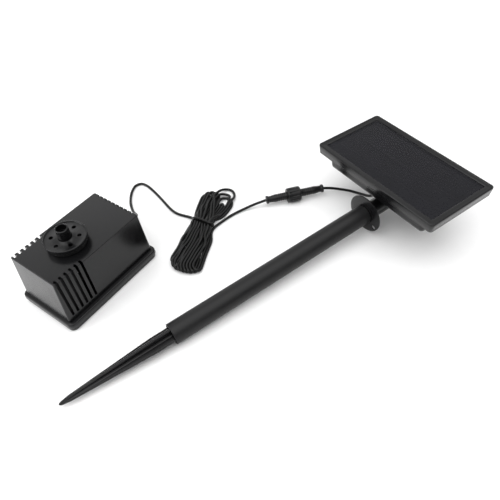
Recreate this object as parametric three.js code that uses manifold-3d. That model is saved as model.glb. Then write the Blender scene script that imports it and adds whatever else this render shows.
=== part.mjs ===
// Solar fountain pump: a slotted pump box on its base tray, a ground stake with a tilting
// solar panel, and the cord and screw connector that join them.
// Millimetres, +Z up. The origin is the centre of the underside of the pump's base tray,
// and +X is the way that the stake lies, from its spike to its panel.
import * as THREE from 'three';
import { mergeVertices } from 'three/addons/utils/BufferGeometryUtils.js';
import Module from 'manifold-3d';

const wasm = await Module();
wasm.setup();

// ---------------------------------------------------------------- driving dimensions
const GAP = 0.3; // between faces that touch
const degree = Math.PI / 180;

const PUMP_YAW = 19.5 * degree; // the pump box stands turned from the stake

// pump box
const MOTOR = { side: 46, wall: 2, length: 45, below: 13, above: 10.2 };
const COVER = { length: 126, width: 72.6, draftX: 4, draftY: 1.9, wall: 2, corner: 2, edge: 0.8 };
const COVER_TOP = MOTOR.below + MOTOR.side + MOTOR.above;
const TRAY = { ledgeX: 4, ledgeY: 5.4, height: 11, draft: 1, floor: 3, corner: 7, taper: 0.5 };
const LEDGE_LIP = { height: 3, wall: 1.5 }; // lip on the tray that the cover drops over
const SIDE_SLOT = { count: 6, width: 3, pitch: 6.45, inset: 7.7, low: 17.2, wrap: 5 };
const BACK_SLOT = { count: 9, width: 3, pitch: 6.4, low: 28, wrap: 2.5 };
const RING = { x: -11.3, radius: 23.3, foot: 21.6, height: 9.5, rim: 1.3, rimRise: 1.2, wall: 2 };
const RING_HOLE = { count: 6, radius: 2.3, circle: 14.8, phase: 11 * degree };
const NOZZLE = { radius: 6.9, bore: 5.5, foot: COVER_TOP + 2.8, top: COVER_TOP + 21.1, lead: 0.5 };

// pump works, on one axis that runs along the box
const CORE_Z = MOTOR.below + MOTOR.side / 2;
const VOLUTE = { radius: 20, wall: 2.5, front: -21, length: 19.4 };
const SPIGOT = { radius: NOZZLE.bore - 0.4, wall: 1.3, top: NOZZLE.top - 6.3 };
const INLET = { radius: 8.5, bore: 6.8, length: 7 };
const LUG = { count: 3, circle: VOLUTE.radius + 1.5, radius: 3.2, phase: 90 * degree, length: 12 };
const LUG_SCREW = { radius: 1.15, head: 2.6, headHeight: 1.6, length: 10 };
const CAN = { radius: 9, wall: 1, length: 37, flange: 1, flangeReach: 3 };
const STATOR = { yoke: 3.4, tooth: 5, length: 20, teeth: 6, front: 4 };
const STATOR_RADIUS = MOTOR.side / 2 - MOTOR.wall - 1.4;
const STATOR_BORE = CAN.radius + 0.6;
const COIL = { fromBore: 1.6, fromYoke: 1, wall: 1.3 };
const SHAFT = { radius: 1.25, clearance: 0.12 };
const ROTOR = { radius: CAN.radius - CAN.wall - 1, length: 27, bore: SHAFT.radius + 0.35 };
const IMPELLER = { clearance: 2.5, disc: 2, bladeHeight: 6, bladeWall: 1.4, blades: 6, hub: 3.6 };
const BUSH = { radius: 3, length: 4 };
const BOARD = { side: MOTOR.side - 8, thickness: 1.6, fromBack: 6 };
const BACK_PLATE = 3; // closes the motor housing
const FOAM = { clearance: 1.5, lowInset: 1.8 };

// cord
const CORD = 3.4; // diameter
const PUMP_GLAND = { y: 12, z: 18.2, flange: 3.8, notch: 4.4, radius: 3.3, tip: 2.3, end: 76, taper: 12 };

// ground stake
const STAKE_Y = -132.5;
const TIP_X = -91;
const TUBE = { radius: 11.85, wall: 1.85 };
const SPIKE = { bare: 123, shoulder: 103, clearance: 0.3, web: 3, tip: 0.9, insert: 35 };
const FLANGE = { radius: 24, thickness: 4, hole: 2.2, holeInset: 4.4, holeAngle: 36.5 * degree };
const FLANGE_AT = 390.4; // from the spike's tip to the flange, along the stake
const STUB = { length: 40, wall: 3, shoulder: 1.2, shoulderReach: 0.5 };
const NECK = { radius: 10.4, clearance: 11 };
const EAR = { radius: 8, thickness: 5, gap: 4.3 };
const PIVOT_REACH = 50; // from the flange's near face to the hinge pin, level
const HINGE_BOLT = { radius: 2.3, head: 4.6, headHeight: 3 };
const TONGUE = { radius: 7.2, thickness: 2 * (EAR.gap - GAP) };

// solar panel, measured from its hinge pin
const FRAME = { length: 179, width: 99.5, height: 12, bezel: 7.5, wall: 2.5, lip: 1.2, corner: 4 };
const FRAME_TOP = 47.5;
const GLASS = { thickness: 2 };
const CELL = { count: 2, thickness: 0.4, margin: 2.5, gap: 1.6 };
const BACKSHEET = { thickness: 1.2 };
const BOX = { endSet: 14.5, sideSet: 7.75, wall: 2, low: 18.6, corner: 5, backPlate: 2, slope: 1.2 };
const BOX_SCREW = {
  fromSide: 6.35, fromEnd: 6.9, post: 4, radius: 1.2, head: 2.6, headHeight: 1.5, length: 5,
};
const CONTROL = { x: -20, length: 60, width: 34, thickness: 1.6, standoff: 3 };
const BATTERY = { x: 18, radius: 9.1, apart: 3, endRoom: 5.1 };
const LEAD_GLAND = { x: -9, y: 22.5, flange: 5, radius: 3.6, tip: 2.3, length: 6, stem: 2.7 };

// in-line screw connector, on its own axis
const LINK_BODY = { radius: 5, collar: 5.2, collarLength: 2.6, waist: 4.2, flange: 7.1 };
const LINK_JOINT = 33; // where the two halves meet
const LINK_NUT = {
  start: 27.8, length: 17.6, radius: LINK_BODY.flange + 2.3, shoulder: 1.8, clearance: 0.5,
  ribs: 12, ribDepth: 0.9, ribInset: 2.5, grooveHalf: 0.9,
};
const LINK = { x: 229.7, y: -27.9, z: LINK_NUT.radius + 0.2, yaw: -20.8 * degree, length: 76.6 };
const LINK_PIN = { radius: 0.7, spread: 2, length: 9 };
const LINK_SEAL = { outer: LINK_BODY.flange - 1.1, width: 1.7, thickness: 0.8 };

// hank of cord, a waisted bundle that lies beside the pump; x and y are its foot's centre
const HANK = { x: 96.3, y: -51, yaw: 41.5 * degree, low: 0.3, height: 12 };
const HANK_OUTLINE = { foot: 21, waistAt: 58, waist: 13.4, headAt: 118, headSide: -5.5, head: 20.5 };

// ---------------------------------------------------------------- materials
const plastic = (color, roughness) => new THREE.MeshStandardMaterial({ color, roughness, metalness: 0 });
const metal = (color, roughness) => new THREE.MeshStandardMaterial({ color, roughness, metalness: 1 });
const BLACK_ABS = 0x262628;
const BLACK_TUBE = 0x2b2b2c;
const BLACK_RUBBER = 0x161616;

// ---------------------------------------------------------------- geometry helpers
function toSolid(geometry) {
  const bare = geometry.clone();
  bare.deleteAttribute('normal');
  bare.deleteAttribute('uv');
  const merged = mergeVertices(bare, 1e-4);
  return new wasm.Manifold(new wasm.Mesh({
    numProp: 3,
    vertProperties: new Float32Array(merged.attributes.position.array),
    triVerts: new Uint32Array(merged.index.array),
  }));
}

function toGeometry(solid) {
  const mesh = solid.getMesh();
  const geometry = new THREE.BufferGeometry();
  geometry.setAttribute('position', new THREE.BufferAttribute(new Float32Array(mesh.vertProperties), 3));
  geometry.setIndex(new THREE.BufferAttribute(new Uint32Array(mesh.triVerts), 1));
  geometry.computeVertexNormals();
  return geometry;
}

// joins the first list of geometries and cuts the second list out of them
function build(joined, cut = []) {
  let solid = toSolid(joined[0]);
  for (const piece of joined.slice(1)) solid = solid.add(toSolid(piece));
  for (const piece of cut) solid = solid.subtract(toSolid(piece));
  return toGeometry(solid);
}

// a box from its lowest to its highest corner
function block(low, high) {
  const size = high.map((value, i) => value - low[i]);
  const geometry = new THREE.BoxGeometry(...size);
  return geometry.translate(...low.map((value, i) => value + size[i] / 2));
}

// cylinders along each axis, from one coordinate to another, centred on the other two
function rodX(radius, from, to, y = 0, z = 0, segments = 32) {
  const geometry = new THREE.CylinderGeometry(radius, radius, to - from, segments);
  return geometry.rotateZ(-Math.PI / 2).translate((from + to) / 2, y, z);
}

function rodY(radius, from, to, x = 0, z = 0, segments = 32) {
  const geometry = new THREE.CylinderGeometry(radius, radius, to - from, segments);
  return geometry.translate(x, (from + to) / 2, z);
}

function rodZ(radius, from, to, x = 0, y = 0, segments = 32) {
  const geometry = new THREE.CylinderGeometry(radius, radius, to - from, segments);
  return geometry.rotateX(Math.PI / 2).translate(x, y, (from + to) / 2);
}

// a turned piece: points are [radius, height] up the axis, and start and end on it
function turned(points, segments = 32) {
  const profile = points.map(([radius, height]) => new THREE.Vector2(radius, height));
  return new THREE.LatheGeometry(profile, segments);
}

const turnedX = (points, segments) => turned(points, segments).rotateZ(-Math.PI / 2);
const turnedZ = (points, segments) => turned(points, segments).rotateX(Math.PI / 2);

// a level rectangle with rounded corners, as a ring of points
function rectangleRing(length, width, corner, z, steps = 4) {
  const ring = [];
  const centres = [[1, 1, 0], [-1, 1, 90], [-1, -1, 180], [1, -1, 270]];
  for (const [sx, sy, start] of centres) {
    for (let i = 0; i <= steps; i += 1) {
      const angle = (start + (90 * i) / steps) * degree;
      const x = sx * (length / 2 - corner) + corner * Math.cos(angle);
      const y = sy * (width / 2 - corner) + corner * Math.sin(angle);
      ring.push(new THREE.Vector3(x, y, z));
    }
  }
  return ring;
}

// a closed skin through rings that have the same number of points, from low to high
function loft(rings) {
  const count = rings[0].length;
  const positions = [];
  for (const ring of rings) ring.forEach((p) => positions.push(p.x, p.y, p.z));
  const centre = (ring) => ring.reduce((sum, p) => sum.add(p), new THREE.Vector3()).divideScalar(count);
  const lowCentre = positions.length / 3;
  const highCentre = lowCentre + 1;
  for (const ring of [rings[0], rings[rings.length - 1]]) {
    const middle = centre(ring);
    positions.push(middle.x, middle.y, middle.z);
  }
  const faces = [];
  const top = (rings.length - 1) * count;
  for (let i = 0; i < count; i += 1) {
    const next = (i + 1) % count;
    for (let k = 0; k < rings.length - 1; k += 1) {
      const a = k * count;
      const b = a + count;
      faces.push(a + i, a + next, b + next, a + i, b + next, b + i);
    }
    faces.push(lowCentre, next, i, highCentre, top + i, top + next);
  }
  const geometry = new THREE.BufferGeometry();
  geometry.setAttribute('position', new THREE.Float32BufferAttribute(positions, 3));
  geometry.setIndex(faces);
  geometry.computeVertexNormals();
  return geometry;
}

// a cord's round section swept along a smooth line through its points
function cordTube(points, stepLength) {
  const route = new THREE.CatmullRomCurve3(points.map((p) => new THREE.Vector3(...p)), false, 'centripetal');
  const section = new THREE.Shape();
  const sides = 8;
  for (let i = 0; i < sides; i += 1) {
    const angle = (i * 2 * Math.PI) / sides;
    const corner = [(CORD / 2) * Math.cos(angle), (CORD / 2) * Math.sin(angle)];
    if (i === 0) section.moveTo(...corner);
    else section.lineTo(...corner);
  }
  section.closePath();
  const steps = Math.round(route.getLength() / stepLength);
  return new THREE.ExtrudeGeometry(section, { steps, extrudePath: route });
}

function addPart(group, name, geometry, material) {
  const mesh = new THREE.Mesh(geometry, material);
  mesh.name = name;
  group.add(mesh);
  return mesh;
}

const object = new THREE.Group();

// ---------------------------------------------------------------- pump box
const pump = new THREE.Group();
pump.rotation.z = PUMP_YAW;
object.add(pump);

const coverLow = TRAY.height + GAP;
const coverHeight = COVER_TOP - coverLow;

// half sizes of the cover's outer skin at a height
function coverHalf(z) {
  const rise = (z - coverLow) / coverHeight;
  return { x: COVER.length / 2 - rise * COVER.draftX, y: COVER.width / 2 - rise * COVER.draftY };
}

function coverRing(z, inset, corner) {
  const half = coverHalf(z);
  return rectangleRing(2 * (half.x - inset), 2 * (half.y - inset), corner, z);
}

function baseTray() {
  const { height, draft, floor, corner, taper } = TRAY;
  const length = COVER.length + 2 * TRAY.ledgeX;
  const width = COVER.width + 2 * TRAY.ledgeY;
  const lipOut = COVER.wall + GAP;
  const lipHalf = coverHalf(coverLow);
  const lipLength = 2 * (lipHalf.x - lipOut);
  const lipWidth = 2 * (lipHalf.y - lipOut);
  const lipTop = height + LEDGE_LIP.height;
  const outside = loft([
    rectangleRing(length - 2 * draft, width - 2 * draft, corner, 0),
    rectangleRing(length, width, corner, draft),
    rectangleRing(length - draft, width - draft, corner, height - 1.5),
    rectangleRing(length - 3 * draft, width - 3 * draft, corner - 1, height),
  ]);
  const lip = loft([
    rectangleRing(lipLength, lipWidth, 1, height - 1),
    rectangleRing(lipLength - taper, lipWidth - taper, 1, lipTop),
  ]);
  const wellLength = lipLength - 2 * LEDGE_LIP.wall - taper;
  const wellWidth = lipWidth - 2 * LEDGE_LIP.wall - taper;
  const inside = loft([floor, lipTop + 1].map((z) => rectangleRing(wellLength, wellWidth, 1, z)));
  return build([outside, lip], [inside]);
}

function slotCentres(slot, first) {
  return Array.from({ length: slot.count }, (_, i) => first + i * slot.pitch);
}

function pumpCover() {
  const over = 5;
  const { wall, corner, edge } = COVER;
  const top = COVER_TOP;
  const skin = loft([
    coverRing(coverLow, 0, corner),
    coverRing(top - edge, 0, corner),
    coverRing(top, edge, corner - edge),
  ]);
  const hollow = loft([
    coverRing(coverLow - 1, wall, 0.5),
    coverRing(top - wall, wall, 0.5),
  ]);
  const cuts = [hollow];
  const innerY = coverHalf(top).y - SIDE_SLOT.wrap;
  for (const x of slotCentres(SIDE_SLOT, SIDE_SLOT.inset - COVER.length / 2)) {
    const half = SIDE_SLOT.width / 2;
    for (const side of [-1, 1]) {
      const near = side * innerY;
      const far = side * (COVER.width / 2 + over);
      const [y0, y1] = [Math.min(near, far), Math.max(near, far)];
      cuts.push(block([x - half, y0, SIDE_SLOT.low], [x + half, y1, top + over]));
    }
  }
  const innerX = coverHalf(top).x - BACK_SLOT.wrap;
  for (const y of slotCentres(BACK_SLOT, (-BACK_SLOT.pitch * (BACK_SLOT.count - 1)) / 2)) {
    const half = BACK_SLOT.width / 2;
    cuts.push(block([innerX, y - half, BACK_SLOT.low], [COVER.length / 2 + over, y + half, top + over]));
  }
  const { notch } = PUMP_GLAND;
  cuts.push(block(
    [COVER.length / 4, PUMP_GLAND.y - notch, coverLow - over],
    [COVER.length / 2 + over, PUMP_GLAND.y + notch, PUMP_GLAND.z + notch],
  ));
  cuts.push(rodZ(NOZZLE.radius + 2 * GAP, top - 2 * wall, top + over, RING.x));
  return build([skin], cuts);
}

function outletRing() {
  const { radius, foot, height, rim, rimRise, wall } = RING;
  const low = COVER_TOP + GAP;
  const topZ = COVER_TOP + height;
  const deck = topZ - rimRise;
  const body = turnedZ([
    [0, low], [foot, low], [radius, topZ - 0.6], [radius - 0.3, topZ], [radius - rim, topZ],
    [radius - rim - 0.6, deck], [0, deck],
  ], 40);
  const hollow = turnedZ([
    [0, low - 1], [foot - wall, low - 1], [radius - wall - 0.8, deck - wall], [0, deck - wall],
  ], 40);
  const boss = rodZ(NOZZLE.radius + 2 * GAP + wall, low, deck - wall / 2, 0, 0, 24);
  const cuts = [rodZ(NOZZLE.radius + GAP, low - 1, topZ + 1, 0, 0, 24)];
  for (let i = 0; i < RING_HOLE.count; i += 1) {
    const angle = RING_HOLE.phase + (i * 2 * Math.PI) / RING_HOLE.count;
    const x = RING_HOLE.circle * Math.cos(angle);
    const y = RING_HOLE.circle * Math.sin(angle);
    cuts.push(rodZ(RING_HOLE.radius, low - 1, topZ + 1, x, y, 12));
  }
  const shell = toGeometry(toSolid(body).subtract(toSolid(hollow)));
  return build([shell, boss], cuts).translate(RING.x, 0, 0);
}

function outletNozzle() {
  const { radius, bore, top, foot, lead } = NOZZLE;
  const body = turnedZ([[0, foot], [radius, foot], [radius, top - lead], [radius - lead, top], [0, top]], 24);
  return build([body], [rodZ(bore, foot - 1, top + 1, 0, 0, 24)]).translate(RING.x, 0, 0);
}

addPart(pump, 'base_tray', baseTray(), plastic(BLACK_ABS, 0.5));
addPart(pump, 'pump_cover', pumpCover(), plastic(BLACK_ABS, 0.45));
addPart(pump, 'outlet_ring', outletRing(), plastic(BLACK_ABS, 0.5));
addPart(pump, 'outlet_nozzle', outletNozzle(), plastic(BLACK_ABS, 0.4));

// ---------------------------------------------------------------- pump works
const works = new THREE.Group();
works.position.z = CORE_Z;
pump.add(works);

const voluteBack = VOLUTE.front + VOLUTE.length;
const chamberRadius = VOLUTE.radius - VOLUTE.wall;
const chamberBack = voluteBack - VOLUTE.wall;
const motorFront = voluteBack + GAP;
const motorBack = motorFront + MOTOR.length;
const trayFloor = TRAY.floor + GAP - CORE_Z;
const screwHole = LUG_SCREW.radius + GAP;
const motorLow = MOTOR.below - CORE_Z;

function lugAngles() {
  return Array.from({ length: LUG.count }, (_, i) => LUG.phase + Math.PI + (i * 2 * Math.PI) / LUG.count);
}

// makes a piece for each lug, given the lug's y and z
function perLug(make) {
  return lugAngles().map((angle) => make(LUG.circle * Math.cos(angle), LUG.circle * Math.sin(angle)));
}

function voluteBody() {
  const lugEnd = VOLUTE.front + LUG.length;
  const lugs = perLug((y, z) => rodX(LUG.radius, VOLUTE.front, lugEnd, y, z, 16));
  const feet = [-1, 1].map((side) => block(
    [VOLUTE.front + 3, side * 14 - 3, trayFloor],
    [voluteBack - 2, side * 14 + 3, -12],
  ));
  const spigot = rodZ(SPIGOT.radius, chamberRadius - 1, SPIGOT.top - CORE_Z, RING.x, 0, 24);
  const holes = perLug((y, z) => rodX(screwHole, VOLUTE.front - 1, lugEnd - 2, y, z, 10));
  return build(
    [rodX(VOLUTE.radius, VOLUTE.front, voluteBack), spigot, ...lugs, ...feet],
    [
      rodX(chamberRadius, VOLUTE.front - 1, chamberBack),
      rodZ(SPIGOT.radius - SPIGOT.wall, 0, SPIGOT.top, RING.x, 0, 24),
      rodX(CAN.radius + GAP, chamberBack - 1, voluteBack + 1, 0, 0, 24),
      ...holes,
    ],
  );
}

const coverPlate = 2.7;
const plateBack = VOLUTE.front - GAP;
const plateFront = plateBack - coverPlate;

function voluteCover() {
  const lugs = perLug((y, z) => rodX(LUG.radius, plateFront, plateBack, y, z, 16));
  const holes = perLug((y, z) => rodX(screwHole, plateFront - 1, plateBack + 1, y, z, 10));
  const body = build(
    [
      rodX(VOLUTE.radius, plateFront, plateBack),
      rodX(INLET.radius, plateFront - INLET.length, plateFront + 1, 0, 0, 24),
      ...lugs,
    ],
    [rodX(INLET.bore, plateFront - INLET.length - 1, plateBack + 1, 0, 0, 24), ...holes],
  );
  const hubOuter = BUSH.radius + GAP + 1;
  const armHalf = 0.8;
  const arms = lugAngles().map((angle) => {
    const arm = block([plateFront, hubOuter - armHalf, -armHalf], [plateBack, INLET.bore + 0.5, armHalf]);
    return arm.rotateX(angle);
  });
  return build(
    [body, rodX(hubOuter, plateFront - 1, plateBack, 0, 0, 16), ...arms],
    [rodX(BUSH.radius + GAP, plateFront - 2, plateBack + 1, 0, 0, 16)],
  );
}

addPart(works, 'volute_body', voluteBody(), plastic(BLACK_ABS, 0.5));
addPart(works, 'volute_cover', voluteCover(), plastic(BLACK_ABS, 0.5));
perLug((y, z) => [y, z]).forEach(([y, z], i) => {
  const headBack = plateFront - GAP;
  const screw = build([
    rodX(LUG_SCREW.head, headBack - LUG_SCREW.headHeight, headBack, y, z, 12),
    rodX(LUG_SCREW.radius, headBack - 1, headBack + LUG_SCREW.length, y, z, 8),
  ]);
  addPart(works, `volute_screw_${i + 1}`, screw, metal(0xa9a9a5, 0.35));
});

function motorHousing() {
  const half = MOTOR.side / 2;
  const inner = half - MOTOR.wall;
  const top = motorLow + MOTOR.side;
  const feet = [-1, 1].map((side) => block(
    [motorFront + 4, side * 16 - 4, trayFloor],
    [motorBack - 4, side * 16 + 4, motorLow + 1],
  ));
  const cavity = block(
    [motorFront + MOTOR.wall, -inner, motorLow + MOTOR.wall],
    [motorBack + 1, inner, top - MOTOR.wall],
  );
  return build(
    [block([motorFront, -half, motorLow], [motorBack, half, top]), ...feet],
    [cavity, rodX(CAN.radius + GAP, motorFront - 1, motorFront + MOTOR.wall + 1, 0, 0, 24)],
  );
}

const canFront = chamberBack - GAP - CAN.flange;
const canEnd = canFront + CAN.length;

function rotorCan() {
  const inner = CAN.radius - CAN.wall;
  const seatFloor = canEnd - CAN.wall;
  return build(
    [
      rodX(CAN.radius + CAN.flangeReach, canFront, canFront + CAN.flange, 0, 0, 24),
      rodX(CAN.radius, canFront, canEnd, 0, 0, 24),
    ],
    [rodX(inner, canFront - 1, seatFloor, 0, 0, 24)],
  );
}

const innerYoke = STATOR_RADIUS - STATOR.yoke;

// stator lamination: a ring with teeth that point at the rotor can
function statorCore() {
  const half = STATOR.tooth / 2;
  const ring = build(
    [rodX(STATOR_RADIUS, 0, STATOR.length, 0, 0, 30)],
    [rodX(innerYoke, -1, STATOR.length + 1, 0, 0, 30)],
  );
  const teeth = toothAngles().map((angle) => {
    const tooth = block([0, STATOR_BORE - 1, -half], [STATOR.length, innerYoke + 1, half]);
    return tooth.rotateX(angle);
  });
  return build([ring, ...teeth], [rodX(STATOR_BORE, -1, STATOR.length + 1, 0, 0, 24)]);
}

function toothAngles() {
  return Array.from({ length: STATOR.teeth }, (_, i) => (i * 2 * Math.PI) / STATOR.teeth);
}

function statorCoil(angle) {
  const halfCore = STATOR.tooth / 2 + GAP;
  const halfOut = halfCore + COIL.wall;
  const ends = GAP + COIL.wall;
  const low = STATOR_BORE + COIL.fromBore;
  const high = innerYoke - COIL.fromYoke;
  const outer = block([-ends, low, -halfOut], [STATOR.length + ends, high, halfOut]);
  const inner = block([-GAP, low - 1, -halfCore], [STATOR.length + GAP, high + 1, halfCore]);
  return build([outer], [inner]).rotateX(angle);
}

const stator = new THREE.Group();
stator.position.x = motorFront + MOTOR.wall + STATOR.front;
works.add(stator);
addPart(works, 'motor_housing', motorHousing(), plastic(BLACK_ABS, 0.5));
addPart(works, 'rotor_can', rotorCan(), metal(0xb9bbbd, 0.3));
addPart(stator, 'stator_core', statorCore(), metal(0x6f7174, 0.45));
toothAngles().forEach((angle, i) => {
  addPart(stator, `stator_coil_${i + 1}`, statorCoil(angle), metal(0xb06a35, 0.35));
});

// rotor: magnet, impeller and shaft turn together in two bushes
const shaftBore = SHAFT.radius + SHAFT.clearance;
const rearBushFront = canEnd - CAN.wall - GAP - BUSH.length;
const frontBushBack = plateBack + 1.3;
const frontBushFront = frontBushBack - BUSH.length;
const endPlay = 0.5; // along the axis, between the rotor and each bush
const magnetEnd = rearBushFront - endPlay;
const magnetFront = magnetEnd - ROTOR.length;

function bush(from) {
  const to = from + BUSH.length;
  return build([rodX(BUSH.radius, from, to, 0, 0, 16)], [rodX(shaftBore, from - 1, to + 1, 0, 0, 16)]);
}

// the rear bush sits in a rubber seat that fills the end of the can
function bushSeat() {
  const outer = CAN.radius - CAN.wall - GAP;
  const to = rearBushFront + BUSH.length;
  return build(
    [rodX(outer, rearBushFront, to, 0, 0, 24)],
    [rodX(BUSH.radius + GAP, rearBushFront - 1, to + 1, 0, 0, 16)],
  );
}

function impeller() {
  const discBack = canFront - 1;
  const discFront = discBack - IMPELLER.disc;
  const bladeFront = discFront - IMPELLER.bladeHeight;
  const hubFront = frontBushBack + endPlay;
  const radius = chamberRadius - IMPELLER.clearance;
  const blades = Array.from({ length: IMPELLER.blades }, (_, i) => {
    const blade = block(
      [bladeFront, IMPELLER.hub - 1, -IMPELLER.bladeWall / 2],
      [discFront + 0.5, radius - 0.5, IMPELLER.bladeWall / 2],
    );
    return blade.rotateX((i * 2 * Math.PI) / IMPELLER.blades);
  });
  return build(
    [
      rodX(radius, discFront, discBack, 0, 0, 30),
      rodX(IMPELLER.hub, hubFront, magnetFront - GAP, 0, 0, 16),
      ...blades,
    ],
    [rodX(SHAFT.radius + GAP, hubFront - 1, magnetFront + 1, 0, 0, 16)],
  );
}

function rotorMagnet() {
  return build(
    [rodX(ROTOR.radius, magnetFront, magnetEnd, 0, 0, 24)],
    [rodX(ROTOR.bore, magnetFront - 1, magnetEnd + 1, 0, 0, 16)],
  );
}

function rotorShaft() {
  return rodX(SHAFT.radius, frontBushFront + endPlay, rearBushFront + BUSH.length - GAP, 0, 0, 16);
}

addPart(works, 'impeller', impeller(), plastic(0xd9d9d4, 0.4));
addPart(works, 'rotor_magnet', rotorMagnet(), plastic(0x3a3a3c, 0.6));
addPart(works, 'rotor_shaft', rotorShaft(), plastic(0xf2f0ea, 0.2));
addPart(works, 'front_bush', bush(frontBushFront), plastic(0xe8e4da, 0.3));
addPart(works, 'rear_bush', bush(rearBushFront), plastic(0xe8e4da, 0.3));
addPart(works, 'rear_bush_seat', bushSeat(), plastic(BLACK_RUBBER, 0.8));

// driver board and back plate close the motor housing; the cord comes out through the plate
const innerHalf = MOTOR.side / 2 - MOTOR.wall - GAP;
const cavityMiddle = motorLow + MOTOR.side / 2;
const boardBack = motorBack - BOARD.fromBack;
const glandZ = PUMP_GLAND.z - CORE_Z;

function driverBoard() {
  const half = BOARD.side / 2;
  return block(
    [boardBack - BOARD.thickness, -half, cavityMiddle - half],
    [boardBack, half, cavityMiddle + half],
  );
}

function motorBackPlate() {
  const front = motorBack - BACK_PLATE;
  const plate = block(
    [front, -innerHalf, cavityMiddle - innerHalf],
    [motorBack, innerHalf, cavityMiddle + innerHalf],
  );
  return build([plate], [rodX(CORD / 2 + GAP, front - 1, motorBack + 1, PUMP_GLAND.y, glandZ, 16)]);
}

function pumpGland() {
  const start = motorBack + GAP;
  const { flange, radius, tip, end, taper } = PUMP_GLAND;
  const flangeEnd = start + 2;
  return turnedX([
    [0, start], [flange, start], [flange, flangeEnd],
    [radius, flangeEnd], [radius, end - taper], [tip, end], [0, end],
  ], 16).translate(0, PUMP_GLAND.y, glandZ);
}

addPart(works, 'driver_board', driverBoard(), plastic(0x1f5a34, 0.5));
addPart(works, 'motor_back_plate', motorBackPlate(), plastic(BLACK_ABS, 0.5));
addPart(works, 'pump_cord_gland', pumpGland(), plastic(BLACK_RUBBER, 0.75));

// foam filter block in front of the inlet
function foamFilter() {
  const back = plateFront - INLET.length - FOAM.clearance;
  const ring = (z, inset) => {
    const half = coverHalf(z);
    const start = -half.x + COVER.wall + inset;
    const halfY = half.y - COVER.wall - inset;
    return [[back, -halfY], [back, halfY], [start, halfY], [start, -halfY]].map(
      ([x, y]) => new THREE.Vector3(x, y, z),
    );
  };
  const lowInset = LEDGE_LIP.wall + FOAM.lowInset;
  const filter = loft([ring(TRAY.floor + GAP, lowInset), ring(COVER_TOP - COVER.wall - FOAM.clearance, 1)]);
  return filter.translate(0, 0, -CORE_Z);
}

addPart(works, 'foam_filter', foamFilter(), plastic(0x111112, 0.95));

// ---------------------------------------------------------------- ground stake
// The stake lies on the lower end of its tube and on its flange.
const incline = Math.asin((FLANGE.radius - TUBE.radius) / (FLANGE_AT - SPIKE.bare));
const tipZ = TUBE.radius - SPIKE.bare * Math.sin(incline);
const stake = new THREE.Group();
stake.position.set(TIP_X, STAKE_Y, tipZ);
stake.rotation.y = -incline;
object.add(stake);

// ring of a four-armed star, square to the stake's axis
function starRing(x, arm, web) {
  const t = web / 2;
  const corners = [
    [arm, -t], [arm, t], [t, t], [t, arm], [-t, arm], [-t, t],
    [-arm, t], [-arm, -t], [-t, -t], [-t, -arm], [t, -arm], [t, -t],
  ];
  return corners.map(([y, z]) => new THREE.Vector3(x, y, z));
}

function stakeSpike() {
  const arm = TUBE.radius - TUBE.wall - SPIKE.clearance;
  return loft([
    starRing(0, SPIKE.tip, SPIKE.tip * 1.3),
    starRing(2.5, SPIKE.tip * 2.2, SPIKE.web * 0.8),
    starRing(11, arm * 0.36, SPIKE.web * 0.9),
    starRing(SPIKE.shoulder, arm, SPIKE.web),
    starRing(SPIKE.bare + SPIKE.insert, arm, SPIKE.web),
  ]);
}

function stakeTube() {
  const end = FLANGE_AT - STUB.shoulder - GAP;
  return build(
    [rodX(TUBE.radius, SPIKE.bare, end)],
    [rodX(TUBE.radius - TUBE.wall, SPIKE.bare - 1, end + 1)],
  );
}

// The bracket: stub in the tube, screw flange, neck, and the fork that holds the hinge pin.
const pivotAlong = FLANGE_AT + PIVOT_REACH / Math.cos(incline);
const flangeBack = FLANGE_AT + FLANGE.thickness;
const earOut = EAR.gap + EAR.thickness;

function stakeBracket() {
  const stubRadius = TUBE.radius - TUBE.wall - GAP;
  const shoulderFront = FLANGE_AT - STUB.shoulder;
  const circle = FLANGE.radius - FLANGE.holeInset;
  const neckEnd = pivotAlong - NECK.clearance;
  const ears = [-1, 1].map((side) => {
    const y0 = side > 0 ? EAR.gap : -earOut;
    return build([
      rodY(EAR.radius, y0, y0 + EAR.thickness, pivotAlong, 0, 24),
      block([neckEnd - 4, y0, -EAR.radius], [pivotAlong, y0 + EAR.thickness, EAR.radius]),
    ]);
  });
  const holes = [-1, 1].map((side) => {
    const y = side * circle * Math.cos(FLANGE.holeAngle);
    const z = -circle * Math.sin(FLANGE.holeAngle);
    return rodX(FLANGE.hole, FLANGE_AT - 1, flangeBack + 1, y, z, 16);
  });
  return build(
    [
      rodX(FLANGE.radius, FLANGE_AT, flangeBack, 0, 0, 48),
      rodX(stubRadius, FLANGE_AT - STUB.length, FLANGE_AT + 1),
      rodX(TUBE.radius + STUB.shoulderReach, shoulderFront, FLANGE_AT + 1),
      rodX(NECK.radius, flangeBack - 1, neckEnd),
      ...ears,
    ],
    [
      rodX(stubRadius - STUB.wall, FLANGE_AT - STUB.length - 1, FLANGE_AT - STUB.wall, 0, 0, 24),
      rodY(HINGE_BOLT.radius + GAP, -earOut - 1, earOut + 1, pivotAlong, 0, 16),
      ...holes,
    ],
  );
}

function hingeBolt() {
  const out = earOut + GAP;
  return build([
    rodY(HINGE_BOLT.head, -out - HINGE_BOLT.headHeight, -out, pivotAlong, 0, 20),
    rodY(HINGE_BOLT.radius, -out - 1, out + HINGE_BOLT.headHeight + 1, pivotAlong, 0, 16),
  ]);
}

function hingeNut() {
  const out = earOut + GAP;
  return build(
    [rodY(HINGE_BOLT.head, out, out + HINGE_BOLT.headHeight, pivotAlong, 0, 6)],
    [rodY(HINGE_BOLT.radius + GAP, out - 1, out + HINGE_BOLT.headHeight + 1, pivotAlong, 0, 16)],
  );
}

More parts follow.
